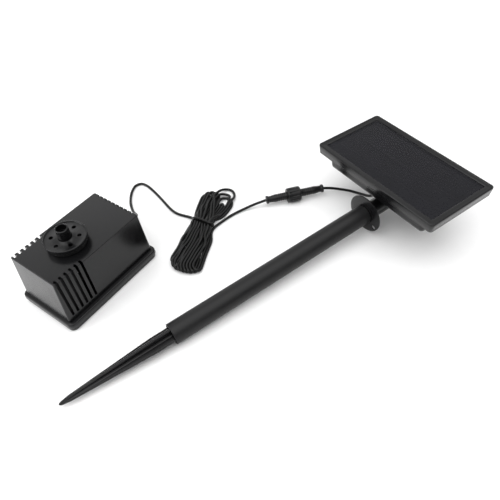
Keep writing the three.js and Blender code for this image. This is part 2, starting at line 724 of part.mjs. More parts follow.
addPart(stake, 'stake_spike', stakeSpike(), plastic(BLACK_ABS, 0.5));
addPart(stake, 'stake_tube', stakeTube(), plastic(BLACK_TUBE, 0.45));
addPart(stake, 'stake_bracket', stakeBracket(), plastic(BLACK_ABS, 0.5));
addPart(stake, 'hinge_bolt', hingeBolt(), metal(0x8d8f91, 0.35));
addPart(stake, 'hinge_nut', hingeNut(), metal(0x8d8f91, 0.35));

// ---------------------------------------------------------------- solar panel
const panel = new THREE.Group();
const pivotX = TIP_X + pivotAlong * Math.cos(incline);
const pivotZ = tipZ + pivotAlong * Math.sin(incline);
panel.position.set(pivotX, STAKE_Y, pivotZ);
object.add(panel);

const frameLow = FRAME_TOP - FRAME.height;
const cavityWidth = FRAME.width - 2 * FRAME.wall;
const cavityLength = FRAME.length - 2 * FRAME.wall;
const sheetWidth = cavityWidth - 2 * GAP;
const sheetLength = cavityLength - 2 * GAP;
const glassTop = FRAME_TOP - FRAME.lip - GAP;
const glassLow = glassTop - GLASS.thickness;
const cellTop = glassLow - GAP;
const backsheetTop = cellTop - CELL.thickness - GAP;
const backsheetLow = backsheetTop - BACKSHEET.thickness;
const backPlateLow = frameLow + GAP;
const backPlateTop = backPlateLow + BOX.backPlate;

const boxLength = FRAME.length - 2 * BOX.endSet;
const boxWidth = FRAME.width - 2 * BOX.sideSet;
const screwX = FRAME.width / 2 - BOX_SCREW.fromSide;
const screwY = FRAME.length / 2 - BOX_SCREW.fromEnd;
const screwPlaces = [[1, 1], [1, -1], [-1, 1], [-1, -1]].map(([sx, sy]) => [sx * screwX, sy * screwY]);
const postHole = BOX_SCREW.radius + GAP;

function panelFrame() {
  const edge = 1;
  const { post } = BOX_SCREW;
  const postLow = backPlateTop + GAP;
  const postHigh = backsheetLow - GAP;
  const outside = loft([
    rectangleRing(FRAME.width - 2 * edge, FRAME.length - 2 * edge, FRAME.corner, frameLow),
    rectangleRing(FRAME.width, FRAME.length, FRAME.corner, FRAME_TOP - 3 * edge),
    rectangleRing(FRAME.width, FRAME.length, FRAME.corner, FRAME_TOP - edge),
    rectangleRing(FRAME.width - 2 * edge, FRAME.length - 2 * edge, FRAME.corner - edge, FRAME_TOP),
  ]);
  const cavity = block(
    [-cavityWidth / 2, -cavityLength / 2, frameLow - 1],
    [cavityWidth / 2, cavityLength / 2, FRAME_TOP - FRAME.lip],
  );
  const window = block(
    [FRAME.bezel - FRAME.width / 2, FRAME.bezel - FRAME.length / 2, frameLow],
    [FRAME.width / 2 - FRAME.bezel, FRAME.length / 2 - FRAME.bezel, FRAME_TOP + 1],
  );
  const posts = screwPlaces.map(([x, y]) => rodZ(post, postLow, postHigh, x, y, 16));
  const holes = screwPlaces.map(([x, y]) => rodZ(postHole, backPlateTop, backsheetLow - 1, x, y, 12));
  const shell = build([outside], [cavity, window]);
  return build([shell, ...posts], holes);
}

function sheet(top, thickness) {
  return block([-sheetWidth / 2, -sheetLength / 2, top - thickness], [sheetWidth / 2, sheetLength / 2, top]);
}

function solarCell(index) {
  const windowWidth = FRAME.width - 2 * FRAME.bezel;
  const windowLength = FRAME.length - 2 * FRAME.bezel;
  const width = (windowWidth - 2 * CELL.margin - (CELL.count - 1) * CELL.gap) / CELL.count;
  const x0 = -windowWidth / 2 + CELL.margin + index * (width + CELL.gap);
  const halfLength = windowLength / 2 - CELL.margin;
  return block([x0, -halfLength, cellTop - CELL.thickness], [x0 + width, halfLength, cellTop]);
}

function rearBox() {
  const { wall, low, corner, slope } = BOX;
  const length = boxLength;
  const width = boxWidth;
  const shell = loft([
    rectangleRing(width - 4 * slope, length - 4 * slope, corner - slope, low),
    rectangleRing(width - 2 * slope, length - 2 * slope, corner, low + slope),
    rectangleRing(width, length, corner, backPlateLow + 1),
  ]);
  const backPlate = block(
    [-sheetWidth / 2, -sheetLength / 2, backPlateLow],
    [sheetWidth / 2, sheetLength / 2, backPlateTop],
  );
  const hollow = loft([
    rectangleRing(width - 4 * slope - 2 * wall, length - 4 * slope - 2 * wall, corner - wall, low + wall),
    rectangleRing(width - 2 * wall - slope, length - 2 * wall - slope, corner - wall, backPlateTop + 1),
  ]);
  const half = TONGUE.thickness / 2;
  const tongue = build([
    rodY(TONGUE.radius, -half, half, 0, 0, 24),
    block([-TONGUE.radius, -half, 0], [TONGUE.radius, half, low + wall / 2]),
  ]);
  const holes = screwPlaces.map(([x, y]) => rodZ(postHole, backPlateLow - 1, backPlateTop + 1, x, y, 12));
  return build(
    [build([shell, backPlate], [hollow]), tongue],
    [
      rodY(HINGE_BOLT.radius + GAP, -half - 1, half + 1, 0, 0, 16),
      rodZ(LEAD_GLAND.stem + GAP, low - 1, low + wall + 1, LEAD_GLAND.x, LEAD_GLAND.y, 16),
      ...holes,
    ],
  );
}

function boxScrew([x, y]) {
  const headTop = backPlateLow - GAP;
  return build([
    rodZ(BOX_SCREW.head, headTop - BOX_SCREW.headHeight, headTop, x, y, 12),
    rodZ(BOX_SCREW.radius, headTop - 1, headTop + BOX_SCREW.length, x, y, 8),
  ]);
}

function leadGland() {
  const { tip, radius, flange, stem, length, x, y } = LEAD_GLAND;
  const top = BOX.low - GAP;
  const flangeLow = top - 1.2;
  const stemTop = top + 2 * BOX.wall;
  return turnedZ([
    [0, top - length], [tip, top - length], [radius, flangeLow], [flange, flangeLow],
    [flange, top], [stem, top], [stem, stemTop], [0, stemTop],
  ], 16).translate(x, y, 0);
}

const boxFloor = BOX.low + BOX.wall;

function controlBoard() {
  const { x, width, length, standoff, thickness } = CONTROL;
  const low = boxFloor + standoff;
  return block([x - width / 2, -length / 2, low], [x + width / 2, length / 2, low + thickness]);
}

// the two cells lie in line, end to end
function batteryCell(side) {
  const inner = (side * BATTERY.apart) / 2;
  const outer = side * (boxLength / 2 - BOX.wall - BATTERY.endRoom - BATTERY.apart / 2 + 1);
  const [from, to] = [Math.min(inner, outer), Math.max(inner, outer)];
  return rodY(BATTERY.radius, from, to, BATTERY.x, boxFloor + GAP + BATTERY.radius, 24);
}

addPart(panel, 'panel_frame', panelFrame(), plastic(BLACK_ABS, 0.45));
addPart(panel, 'panel_glass', sheet(glassTop, GLASS.thickness), plastic(0x2d2c32, 0.1));
for (let i = 0; i < CELL.count; i += 1) {
  addPart(panel, `solar_cell_${i + 1}`, solarCell(i), plastic(0x1b1b22, 0.3));
}
addPart(panel, 'cell_backsheet', sheet(backsheetTop, BACKSHEET.thickness), plastic(0x141416, 0.6));
addPart(panel, 'rear_box', rearBox(), plastic(BLACK_ABS, 0.5));
screwPlaces.forEach((place, i) => {
  addPart(panel, `box_screw_${i + 1}`, boxScrew(place), metal(0xa9a9a5, 0.35));
});
addPart(panel, 'control_board', controlBoard(), plastic(0x1f5a34, 0.5));
[-1, 1].forEach((side, i) => {
  addPart(panel, `battery_cell_${i + 1}`, batteryCell(side), plastic(0x2f6fb0, 0.35));
});
addPart(panel, 'panel_cord_gland', leadGland(), plastic(BLACK_RUBBER, 0.75));

// ---------------------------------------------------------------- screw connector
const link = new THREE.Group();
link.position.set(LINK.x, LINK.y, LINK.z);
link.rotation.z = LINK.yaw;
object.add(link);

// a half's outside, from its cord end: collar, waist and body
function linkOutline() {
  const { radius, collar, collarLength, waist } = LINK_BODY;
  return [
    [0, 0], [collar, 0], [collar, collarLength], [waist, collarLength + 0.6],
    [waist, collarLength + 5], [radius, collarLength + 9],
  ];
}

const pinBores = (from, to) => [-1, 1].map(
  (side) => rodX(LINK_PIN.radius + GAP, from, to, side * LINK_PIN.spread, 0, 10),
);

function socketHalf() {
  const { radius, flange } = LINK_BODY;
  const flangeStart = LINK_NUT.start + LINK_NUT.shoulder + GAP;
  const body = turnedX([
    ...linkOutline(), [radius, flangeStart], [flange, flangeStart],
    [flange, LINK_JOINT - 1], [0, LINK_JOINT - 1],
  ], 24);
  return build([body], pinBores(LINK_JOINT - 7, LINK_JOINT));
}

function plugHalf() {
  const { radius, flange } = LINK_BODY;
  const noseEnd = LINK_NUT.start + LINK_NUT.length - 0.6;
  const mirrored = linkOutline().map(([r, x]) => [r, LINK.length - x]).reverse();
  const start = LINK_JOINT + GAP;
  const body = turnedX([[0, start], [flange, start], [flange, noseEnd], [radius, noseEnd], ...mirrored], 24);
  return build([body], pinBores(LINK_JOINT - 1, LINK_JOINT + 5));
}

function couplingNut() {
  const { start, length, radius, shoulder, clearance, ribs, ribDepth, ribInset, grooveHalf } = LINK_NUT;
  const end = start + length;
  const body = turnedX([
    [0, start], [radius - 1, start], [radius, start + 1.2], [radius, end - 1.2], [radius - 1, end], [0, end],
  ], 24);
  const grooves = Array.from({ length: ribs }, (_, i) => {
    const groove = block(
      [start + ribInset, radius - ribDepth, -grooveHalf],
      [end - ribInset, radius + 2, grooveHalf],
    );
    return groove.rotateX((i * 2 * Math.PI) / ribs);
  });
  return build([body], [
    rodX(LINK_BODY.radius + clearance, start - 1, end, 0, 0, 24),
    rodX(LINK_BODY.flange + clearance, start + shoulder, end + 1, 0, 0, 24),
    ...grooves,
  ]);
}

function sealRing() {
  const { outer, width, thickness } = LINK_SEAL;
  const from = LINK_JOINT - 0.8;
  return build(
    [rodX(outer, from, from + thickness, 0, 0, 20)],
    [rodX(outer - width, from - 1, from + 2, 0, 0, 20)],
  );
}

addPart(link, 'socket_half', socketHalf(), plastic(BLACK_RUBBER, 0.6));
addPart(link, 'plug_half', plugHalf(), plastic(BLACK_RUBBER, 0.6));
addPart(link, 'coupling_nut', couplingNut(), plastic(BLACK_ABS, 0.5));
addPart(link, 'connector_seal', sealRing(), plastic(0x2a2a2a, 0.8));
[-1, 1].forEach((side, i) => {
  const from = LINK_JOINT - 5;
  const pin = rodX(LINK_PIN.radius, from, from + LINK_PIN.length, side * LINK_PIN.spread, 0, 8);
  addPart(link, `connector_pin_${i + 1}`, pin, metal(0xc9a64a, 0.3));
});

// ---------------------------------------------------------------- cord
const onGround = CORD / 2 + 0.1;
const cordFinish = () => plastic(BLACK_RUBBER, 0.5);

const pumpLead = [
  [67.9, 36.7, 18.2], [74.2, 39.0, 17.6], [80.2, 43.4, 15.4], [83.6, 51.0, 10.6], [84.4, 60.0, 5.2],
  [85.6, 70.5, 2.2], [89.0, 83.0, onGround], [95.0, 95.5, onGround], [102.6, 106.0, onGround],
  [110.8, 112.6, onGround], [118.6, 112.0, onGround], [123.0, 104.6, onGround], [125.0, 92.0, onGround],
  [126.0, 75.0, onGround], [126.2, 57.0, onGround], [126.4, 40.0, onGround], [127.6, 24.5, onGround],
  [129.6, 12.8, onGround], [135.0, 6.4, onGround],
];
const hankLead = [
  [154.2, -23.8, onGround], [163.0, -20.4, onGround], [175.0, -17.0, onGround], [189.0, -16.4, onGround],
  [202.4, -18.0, 3.0], [216.0, -22.4, 6.4], [229.4, -27.8, 9.6],
];
// the panel's cord rises into its gland, wherever the hinge holds the panel
const glandX = pivotX + LEAD_GLAND.x;
const glandY = STAKE_Y + LEAD_GLAND.y;
const panelLead = [
  [301.6, -55.2, 9.6], [310.4, -60.2, 8.2], [321.2, -66.6, 5.0], [330.6, -76.0, 3.4], [337.4, -89.0, 3.4],
  [340.6, -99.0, 5.6], [glandX + 1, glandY + 4.4, pivotZ - 15.3], [glandX + 0.4, glandY + 0.8, pivotZ - 7.3],
  [glandX, glandY, pivotZ + 2.7], [glandX, glandY, pivotZ + 11.9],
];

addPart(object, 'pump_lead', cordTube(pumpLead, 8), cordFinish());
addPart(object, 'hank_lead', cordTube(hankLead, 8), cordFinish());
addPart(object, 'panel_lead', cordTube(panelLead, 7), cordFinish());

// the outline of a bundle that is tied at its waist, with a round foot and a round head
function cordHank() {
  const { foot, waistAt, waist, headAt, headSide, head } = HANK_OUTLINE;
  const quarter = Math.PI / 2;
  const outline = new THREE.Shape();
  outline.absarc(0, 0, foot, quarter, 3 * quarter, false);
  outline.quadraticCurveTo(waistAt / 2, -foot, waistAt, -waist);
  outline.quadraticCurveTo((waistAt + headAt) / 2, headSide - head, headAt, headSide - head);
  outline.absarc(headAt, headSide, head, -quarter, quarter, false);
  outline.quadraticCurveTo((waistAt + headAt) / 2, headSide + head, waistAt, waist);
  outline.quadraticCurveTo(waistAt / 2, foot, 0, foot);
  return new THREE.ExtrudeGeometry(outline, { depth: HANK.height, bevelEnabled: false, curveSegments: 8 });
}

const hank = addPart(object, 'cord_hank', cordHank(), cordFinish());
hank.position.set(HANK.x, HANK.y, HANK.low);
hank.rotation.z = HANK.yaw;

export default object;
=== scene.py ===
import math

import bmesh
import bpy
import numpy as np
from mathutils import Matrix, Vector


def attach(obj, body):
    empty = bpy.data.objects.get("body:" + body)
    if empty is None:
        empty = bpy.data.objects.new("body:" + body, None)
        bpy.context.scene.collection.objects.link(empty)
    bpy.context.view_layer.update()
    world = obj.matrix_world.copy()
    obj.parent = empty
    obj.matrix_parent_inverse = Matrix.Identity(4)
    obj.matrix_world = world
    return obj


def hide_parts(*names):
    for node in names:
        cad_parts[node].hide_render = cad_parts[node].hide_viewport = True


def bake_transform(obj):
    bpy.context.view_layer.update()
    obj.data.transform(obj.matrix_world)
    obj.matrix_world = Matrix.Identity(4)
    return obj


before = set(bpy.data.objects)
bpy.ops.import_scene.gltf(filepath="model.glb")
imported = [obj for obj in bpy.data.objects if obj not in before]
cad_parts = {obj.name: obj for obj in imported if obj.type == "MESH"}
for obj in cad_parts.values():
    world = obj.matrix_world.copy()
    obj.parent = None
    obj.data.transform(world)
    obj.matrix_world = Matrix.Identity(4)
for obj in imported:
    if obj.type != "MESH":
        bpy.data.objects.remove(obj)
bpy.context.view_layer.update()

MM = 0.001  # the shapes below are in millimetres
GAP = 0.3  # clearance between fitted pieces

# ------------------------------------------------------------------ local frames
PUMP_YAW = math.radians(19.5)
LINK_YAW = math.radians(-20.8)
LINK_AT = (229.7, -27.9, 9.6)
TIP_X = -91.0
STAKE_Y = -132.5
TUBE_R = 11.85
TUBE_WALL = 1.85
TUBE_BORE = TUBE_R - TUBE_WALL
TUBE_LOW = 123.0  # where the tube starts, along the stake from the spike's tip
FLANGE_AT = 390.4  # the flange's front face, along the stake
FLANGE_R = 24.0
SCREW_HOLE_REACH = 19.6  # from the flange's axis to its screw holes
EAR_IN, EAR_OUT = 4.3, 9.3  # the hinge ears' faces, from the middle
EAR_R = 8
HINGE_R = 2.3
PIVOT_REACH = 50.0  # from the flange's front face to the hinge, level
INCLINE = math.asin((FLANGE_R - TUBE_R) / (FLANGE_AT - TUBE_LOW))
TIP_Z = TUBE_R - TUBE_LOW * math.sin(INCLINE)
PIVOT_ALONG = FLANGE_AT + PIVOT_REACH / math.cos(INCLINE)
PIVOT_X = TIP_X + PIVOT_ALONG * math.cos(INCLINE)
PIVOT_Z = TIP_Z + PIVOT_ALONG * math.sin(INCLINE)

TO_METRES = Matrix.Scale(MM, 4)
PUMP = TO_METRES @ Matrix.Rotation(PUMP_YAW, 4, "Z")
STAKE = TO_METRES @ Matrix.Translation((TIP_X, STAKE_Y, TIP_Z)) @ Matrix.Rotation(-INCLINE, 4, "Y")
PANEL = TO_METRES @ Matrix.Translation((PIVOT_X, STAKE_Y, PIVOT_Z))
LINK = TO_METRES @ Matrix.Translation(LINK_AT) @ Matrix.Rotation(LINK_YAW, 4, "Z")

# ------------------------------------------------------------------ camera
EYE = (-0.0446, -0.4155, 0.4459)
HEADING = -32.23  # degrees, turned from +Y
PITCH = 48.19  # degrees below the horizon
ROLL = -4.04
LENS = 35.93
SENSOR = 36


def make_camera():
    data = bpy.data.cameras.new("camera")
    data.lens = LENS
    data.sensor_width = SENSOR
    data.clip_start = 0.01
    camera = bpy.data.objects.new("camera", data)
    heading = Matrix.Rotation(math.radians(HEADING), 4, "Z")
    pitch = Matrix.Rotation(math.radians(90 - PITCH), 4, "X")
    roll = Matrix.Rotation(math.radians(ROLL), 4, "Z")
    camera.matrix_world = Matrix.Translation(EYE) @ (heading @ pitch) @ roll
    bpy.context.scene.collection.objects.link(camera)
    bpy.context.scene.camera = camera


make_camera()


# ------------------------------------------------------------------ materials
def add_node(tree, kind, place, **inputs):
    node = tree.nodes.new(kind)
    node.location = place
    for key, value in inputs.items():
        node.inputs[key.replace("_", " ")].default_value = value
    return node


def material(name, color, roughness, metallic=0.0, grain=0.0, grain_scale=1400.0, mottle=0.12, spread=0.06,
             scuff=0.0, **shader):
    """a moulded or drawn surface: uneven tone and roughness, fine grain, and light rubbing"""
    made = bpy.data.materials.new(name)
    made.use_nodes = True
    tree = made.node_tree
    bsdf = tree.nodes["Principled BSDF"]
    bsdf.inputs["Metallic"].default_value = metallic
    for key, value in shader.items():
        bsdf.inputs[key.replace("_", " ")].default_value = value
    coords = add_node(tree, "ShaderNodeTexCoord", (-1100, 0))
    cloud = add_node(tree, "ShaderNodeTexNoise", (-900, 200), Scale=38.0, Detail=5.0, Roughness=0.6)
    fine = add_node(tree, "ShaderNodeTexNoise", (-900, -150), Scale=grain_scale, Detail=2.0)
    tree.links.new(coords.outputs["Object"], cloud.inputs["Vector"])
    tree.links.new(coords.outputs["Object"], fine.inputs["Vector"])
    tones = add_node(tree, "ShaderNodeValToRGB", (-650, 250))
    dark = [c * (1 - mottle) for c in color]
    light = [min(c * (1 + mottle), 1) for c in color]
    tones.color_ramp.elements[0].position = 0.35
    tones.color_ramp.elements[0].color = (*dark, 1)
    tones.color_ramp.elements[1].position = 0.68
    tones.color_ramp.elements[1].color = (*light, 1)
    tree.links.new(cloud.outputs["Fac"], tones.inputs["Fac"])
    base = tones.outputs["Color"]
    if scuff:
        marks = add_node(tree, "ShaderNodeTexNoise", (-900, 520), Scale=210.0, Detail=8.0, Roughness=0.75)
        marks.inputs["Distortion"].default_value = 1.6
        tree.links.new(coords.outputs["Object"], marks.inputs["Vector"])
        pick = add_node(tree, "ShaderNodeMapRange", (-650, 560))
        pick.inputs["From Min"].default_value = 0.6
        pick.inputs["From Max"].default_value = 0.78
        pick.inputs["To Max"].default_value = scuff
        tree.links.new(marks.outputs["Fac"], pick.inputs["Value"])
        blend = add_node(tree, "ShaderNodeMix", (-400, 380))
        blend.data_type = "RGBA"
        blend.inputs[7].default_value = (*[min(c * 2.6 + 0.012, 1) for c in color], 1)
        tree.links.new(pick.outputs["Result"], blend.inputs["Factor"])
        tree.links.new(base, blend.inputs[6])
        base = blend.outputs[2]
    tree.links.new(base, bsdf.inputs["Base Color"])
    rough = add_node(tree, "ShaderNodeMapRange", (-650, -50))
    rough.inputs["From Min"].default_value = 0.3
    rough.inputs["From Max"].default_value = 0.7
    rough.inputs["To Min"].default_value = max(roughness - spread, 0.02)
    rough.inputs["To Max"].default_value = min(roughness + spread, 1)
    tree.links.new(cloud.outputs["Fac"], rough.inputs["Value"])
    tree.links.new(rough.outputs["Result"], bsdf.inputs["Roughness"])
    if grain:
        bump = add_node(tree, "ShaderNodeBump", (-400, -200), Strength=grain, Distance=0.0002)
        tree.links.new(fine.outputs["Fac"], bump.inputs["Height"])
        tree.links.new(bump.outputs["Normal"], bsdf.inputs["Normal"])
    return made


def cell_material():
    """dark silicon with fine contact fingers and three bus bars"""
    made = material("solar_cell", (0.008, 0.008, 0.014), 0.16, mottle=0.35, spread=0.04)
    tree = made.node_tree
    bsdf = tree.nodes["Principled BSDF"]
    base = bsdf.inputs["Base Color"].links[0].from_socket
    coords = next(n for n in tree.nodes if n.type == "TEX_COORD")
    split = add_node(tree, "ShaderNodeSeparateXYZ", (-900, -450))
    tree.links.new(coords.outputs["Object"], split.inputs["Vector"])
    lines = []
    for axis, pitch, width in (("Y", 0.0021, 0.06), ("X", 0.0136, 0.05)):
        wave = add_node(tree, "ShaderNodeMath", (-700, -450 - 150 * len(lines)))
        wave.operation = "PINGPONG"
        wave.inputs[1].default_value = pitch
        tree.links.new(split.outputs[axis], wave.inputs[0])
        thin = add_node(tree, "ShaderNodeMath", (-500, -450 - 150 * len(lines)))
        thin.operation = "LESS_THAN"
        thin.inputs[1].default_value = pitch * width
        tree.links.new(wave.outputs[0], thin.inputs[0])
        lines.append(thin)
    both = add_node(tree, "ShaderNodeMath", (-300, -500))
    both.operation = "MAXIMUM"
    tree.links.new(lines[0].outputs[0], both.inputs[0])
    tree.links.new(lines[1].outputs[0], both.inputs[1])
    blend = add_node(tree, "ShaderNodeMix", (-150, 100))
    blend.data_type = "RGBA"
    blend.inputs[7].default_value = (0.045, 0.045, 0.05, 1)
    tree.links.new(both.outputs[0], blend.inputs["Factor"])
    tree.links.new(base, blend.inputs[6])
    tree.links.new(blend.outputs[2], bsdf.inputs["Base Color"])
    return made


LOOKS = {
    "black_plastic": material("black_plastic", (0.0052, 0.0052, 0.0057), 0.22, grain=0.1, scuff=0.3,
                              spread=0.04, Specular_IOR_Level=0.32),
    "tube_plastic": material("tube_plastic", (0.009, 0.009, 0.0094), 0.42, grain=0.3, grain_scale=900.0,
                             scuff=0.3, Specular_IOR_Level=0.25),
    "cord_rubber": material("cord_rubber", (0.003, 0.003, 0.003), 0.33, grain=0.1, Specular_IOR_Level=0.28),
    "connector_plastic": material("connector_plastic", (0.005, 0.005, 0.0054), 0.32, grain=0.2, scuff=0.3,
                                  Specular_IOR_Level=0.28),
    "seal_rubber": material("seal_rubber", (0.02, 0.02, 0.02), 0.7, grain=0.3),
    "panel_glass": material("panel_glass", (0.008, 0.008, 0.0115), 0.09, spread=0.02, Specular_IOR_Level=0.32,
                            Alpha=0.55),
    "solar_cell": cell_material(),
    "backsheet": material("backsheet", (0.009, 0.009, 0.01), 0.55, grain=0.2),
    "steel": material("steel", (0.5, 0.5, 0.49), 0.3, metallic=1.0, grain=0.1),
    "can_steel": material("can_steel", (0.6, 0.61, 0.62), 0.26, metallic=1.0, grain=0.08),
    "stator_steel": material("stator_steel", (0.18, 0.19, 0.2), 0.42, metallic=0.8, grain=0.2),
    "copper_wire": material("copper_wire", (0.55, 0.22, 0.08), 0.32, metallic=1.0, grain=0.8,
                            grain_scale=2600.0),
    "magnet": material("magnet", (0.05, 0.05, 0.052), 0.6, grain=0.3),
    "impeller_plastic": material("impeller_plastic", (0.7, 0.7, 0.66), 0.4, grain=0.1, mottle=0.04),
    "ceramic": material("ceramic", (0.86, 0.84, 0.78), 0.25, mottle=0.03),
    "foam": material("foam", (0.006, 0.006, 0.007), 0.95, grain=1.0, grain_scale=700.0),
    "circuit_board": material("circuit_board", (0.02, 0.12, 0.05), 0.4, grain=0.1),
    "battery_wrap": material("battery_wrap", (0.04, 0.18, 0.42), 0.3, mottle=0.05),
    "contact_brass": material("contact_brass", (0.78, 0.6, 0.3), 0.25, metallic=1.0),
}


# ------------------------------------------------------------------ meshes
def rounded(half_x, half_y, corner, z, steps=8):
    """a level rectangle with rounded corners, as a ring of points"""
    ring = []
    for sx, sy, start in ((1, 1, 0), (-1, 1, 90), (-1, -1, 180), (1, -1, 270)):
        for i in range(steps + 1):
            angle = math.radians(start + 90 * i / steps)
            x = sx * (half_x - corner) + corner * math.cos(angle)
            y = sy * (half_y - corner) + corner * math.sin(angle)
            ring.append((x, y, z))
    return ring


def circle_x(radius, x, segments):
    return [(x, radius * math.cos(a), radius * math.sin(a)) for a in turns(segments)]


def circle_z(radius, z, segments):
    return [(radius * math.cos(a), radius * math.sin(a), z) for a in turns(segments)]


def turns(segments):
    return [2 * math.pi * i / segments for i in range(segments)]


def skin(rings, loop=False):
    """a closed skin through rings with the same number of points; a loop joins its last ring to its first"""
    count = len(rings[0])
    points = [p for ring in rings for p in ring]
    faces = []
    last = len(rings) if loop else len(rings) - 1
    for k in range(last):
        a = k * count
        b = ((k + 1) % len(rings)) * count
        for i in range(count):
            j = (i + 1) % count
            faces.append((a + i, a + j, b + j, b + i))
    if not loop:
        top = (len(rings) - 1) * count
        faces.append(tuple(range(count))[::-1])
        faces.append(tuple(range(top, top + count)))
    return points, faces


def lathe_x(profile, segments=96, loop=False):
    return skin([circle_x(r, x, segments) for r, x in profile], loop)


def lathe_z(profile, segments=96, loop=False, at=(0, 0)):
    points, faces = skin([circle_z(r, z, segments) for r, z in profile], loop)
    return [(x + at[0], y + at[1], z) for x, y, z in points], faces


def block(low, high):
    (x0, y0, z0), (x1, y1, z1) = low, high
    return skin([
        [(x0, y0, z0), (x1, y0, z0), (x1, y1, z0), (x0, y1, z0)],
        [(x0, y0, z1), (x1, y0, z1), (x1, y1, z1), (x0, y1, z1)],
    ])


def rod_z(radius, low, high, at=(0, 0), segments=48):
    return lathe_z([(radius, low), (radius, high)], segments, at=at)


def rod_y(radius, low, high, at=(0, 0), segments=48):
    rings = [[(at[0] + radius * math.cos(a), y, at[1] + radius * math.sin(a)) for a in turns(segments)]
             for y in (low, high)]
    return skin(rings)


def joined(*shapes):
    points = []
    faces = []
    for shape_points, shape_faces in shapes:
        start = len(points)
        points.extend(shape_points)
        faces.extend(tuple(i + start for i in face) for face in shape_faces)
    return points, faces


def mesh_object(name, shape, matrix):
    points, faces = shape
    mesh = bpy.data.meshes.new(name)
    mesh.from_pydata([matrix @ Vector(p) for p in points], [], faces)
    edit = bmesh.new()
    edit.from_mesh(mesh)
    bmesh.ops.recalc_face_normals(edit, faces=edit.faces)
    edit.to_mesh(mesh)
    edit.free()
    made = bpy.data.objects.new(name, mesh)
    bpy.context.scene.collection.objects.link(made)
    return made


def boolean(target, shape, matrix, operation):
    """joins a shape to the target's mesh, or cuts it out"""
    tool = mesh_object("tool", shape, matrix)
    change = target.modifiers.new("boolean", "BOOLEAN")
    change.operation = operation
    change.solver = "EXACT"
    change.use_self = True
    change.object = tool
    bpy.context.view_layer.update()
    result = bpy.data.meshes.new_from_object(target.evaluated_get(bpy.context.evaluated_depsgraph_get()))
    target.modifiers.clear()
    old = target.data
    target.data = result
    bpy.data.meshes.remove(old)
    bpy.data.objects.remove(tool)


def round_edges(obj, width, segments=3, angle=32):
    for polygon in obj.data.polygons:
        polygon.use_smooth = True
    bevel = obj.modifiers.new("bevel", "BEVEL")
    bevel.width = width * MM
    bevel.segments = segments
    bevel.limit_method = "ANGLE"
    bevel.angle_limit = math.radians(angle)
    bevel.miter_outer = "MITER_ARC"
    bevel.use_clamp_overlap = True
    bevel.harden_normals = True


def finish_piece(obj, nodes, body, look, edge=0.3, segments=3, angle=32):
    """gives a made piece its look and puts it in place of its CAD nodes"""
    obj.data.materials.clear()
    obj.data.materials.append(LOOKS[look])
    if edge:
        round_edges(obj, edge, segments, angle)
    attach(obj, body)
    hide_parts(*nodes)
    return obj


def piece(name, shape, matrix, node, body, look, cuts=(), adds=(), **finish):
    made = mesh_object(name, shape, matrix)
    for add in adds:
        boolean(made, add, matrix, "UNION")
    for cut in cuts:
        boolean(made, cut, matrix, "DIFFERENCE")
    return finish_piece(made, [node], body, look, **finish)


# ------------------------------------------------------------------ cords
CORD = 3.4
ON_GROUND = 0.0018  # a resting cord's middle, in metres as the routes are
PUMP_LEAD = [
    (0.0679, 0.0367, 0.0182), (0.0742, 0.0390, 0.0176), (0.0802, 0.0434, 0.0154),
    (0.0836, 0.0510, 0.0106), (0.0844, 0.0600, 0.0052), (0.0856, 0.0705, 0.0022),
    (0.0890, 0.0830, ON_GROUND), (0.0950, 0.0955, ON_GROUND), (0.1026, 0.1060, ON_GROUND),
    (0.1108, 0.1126, ON_GROUND), (0.1186, 0.1120, ON_GROUND), (0.1230, 0.1046, ON_GROUND),
    (0.1250, 0.0920, ON_GROUND), (0.1260, 0.0750, ON_GROUND), (0.1262, 0.0570, ON_GROUND),
    (0.1264, 0.0400, ON_GROUND), (0.1276, 0.0245, ON_GROUND), (0.1296, 0.0128, ON_GROUND),
    (0.1350, 0.0064, ON_GROUND),
]
HANK_LEAD = [
    (0.1542, -0.0238, ON_GROUND), (0.1630, -0.0204, ON_GROUND), (0.1750, -0.0170, ON_GROUND),
    (0.1890, -0.0164, ON_GROUND), (0.2024, -0.0180, 0.0030), (0.2160, -0.0224, 0.0064),
    (0.2294, -0.0278, 0.0096),
]
PANEL_LEAD = [
    (0.3016, -0.0552, 0.0096), (0.3104, -0.0602, 0.0082), (0.3212, -0.0666, 0.0050),
    (0.3306, -0.0760, 0.0034), (0.3374, -0.0890, 0.0034), (0.3406, -0.0990, 0.0056),
    (0.3410, -0.1056, 0.0110), (0.3404, -0.1092, 0.0190), (0.3400, -0.1100, 0.0290),
    (0.3400, -0.1100, 0.0382),
]

# The hank: turns that run from folds at its foot, through a waist, to folds at its head.
# Its own axes are s along it from its foot, t to its left and h up.
HANK_FOOT = (96.3, -51.0)
HANK_YAW = math.radians(41.5)
FOLD = 6.9  # radius of the folds as they are laid
OPEN_FOLD = 8.6  # radius that the settled bends spring open towards
FOOT_TIPS = (-11, -21, -28, -26.5, -30, -28, -31, -26.5, -25)
TURNS = len(FOOT_TIPS)
FOOT_SIDE = (13.3, 3.33)  # the first fold's place across the hank, and the step to the next
WAIST_S = 60.0
HEAD_FOLDS = (  # the tip's s, t of the strand going up and of the one coming back, and their heights
    (131.0, 12.6, 2.6, 5.2, 1.8), (136.5, 10.0, -1.0, 8.6, 1.8), (138.5, 7.4, -3.4, 5.2, 1.8),
    (134.5, 3.6, -6.4, 9.6, 2.4), (121.5, -7.6, -24.2, 8.6, 3.6), (126.0, -4.6, -26.0, 5.2, 1.8),
    (130.5, -2.6, -25.4, 8.6, 5.2), (141.0, 0.6, -28.2, 5.2, 1.8),
)
OVER = 9.3  # the level of the tie's strand on top of the waist
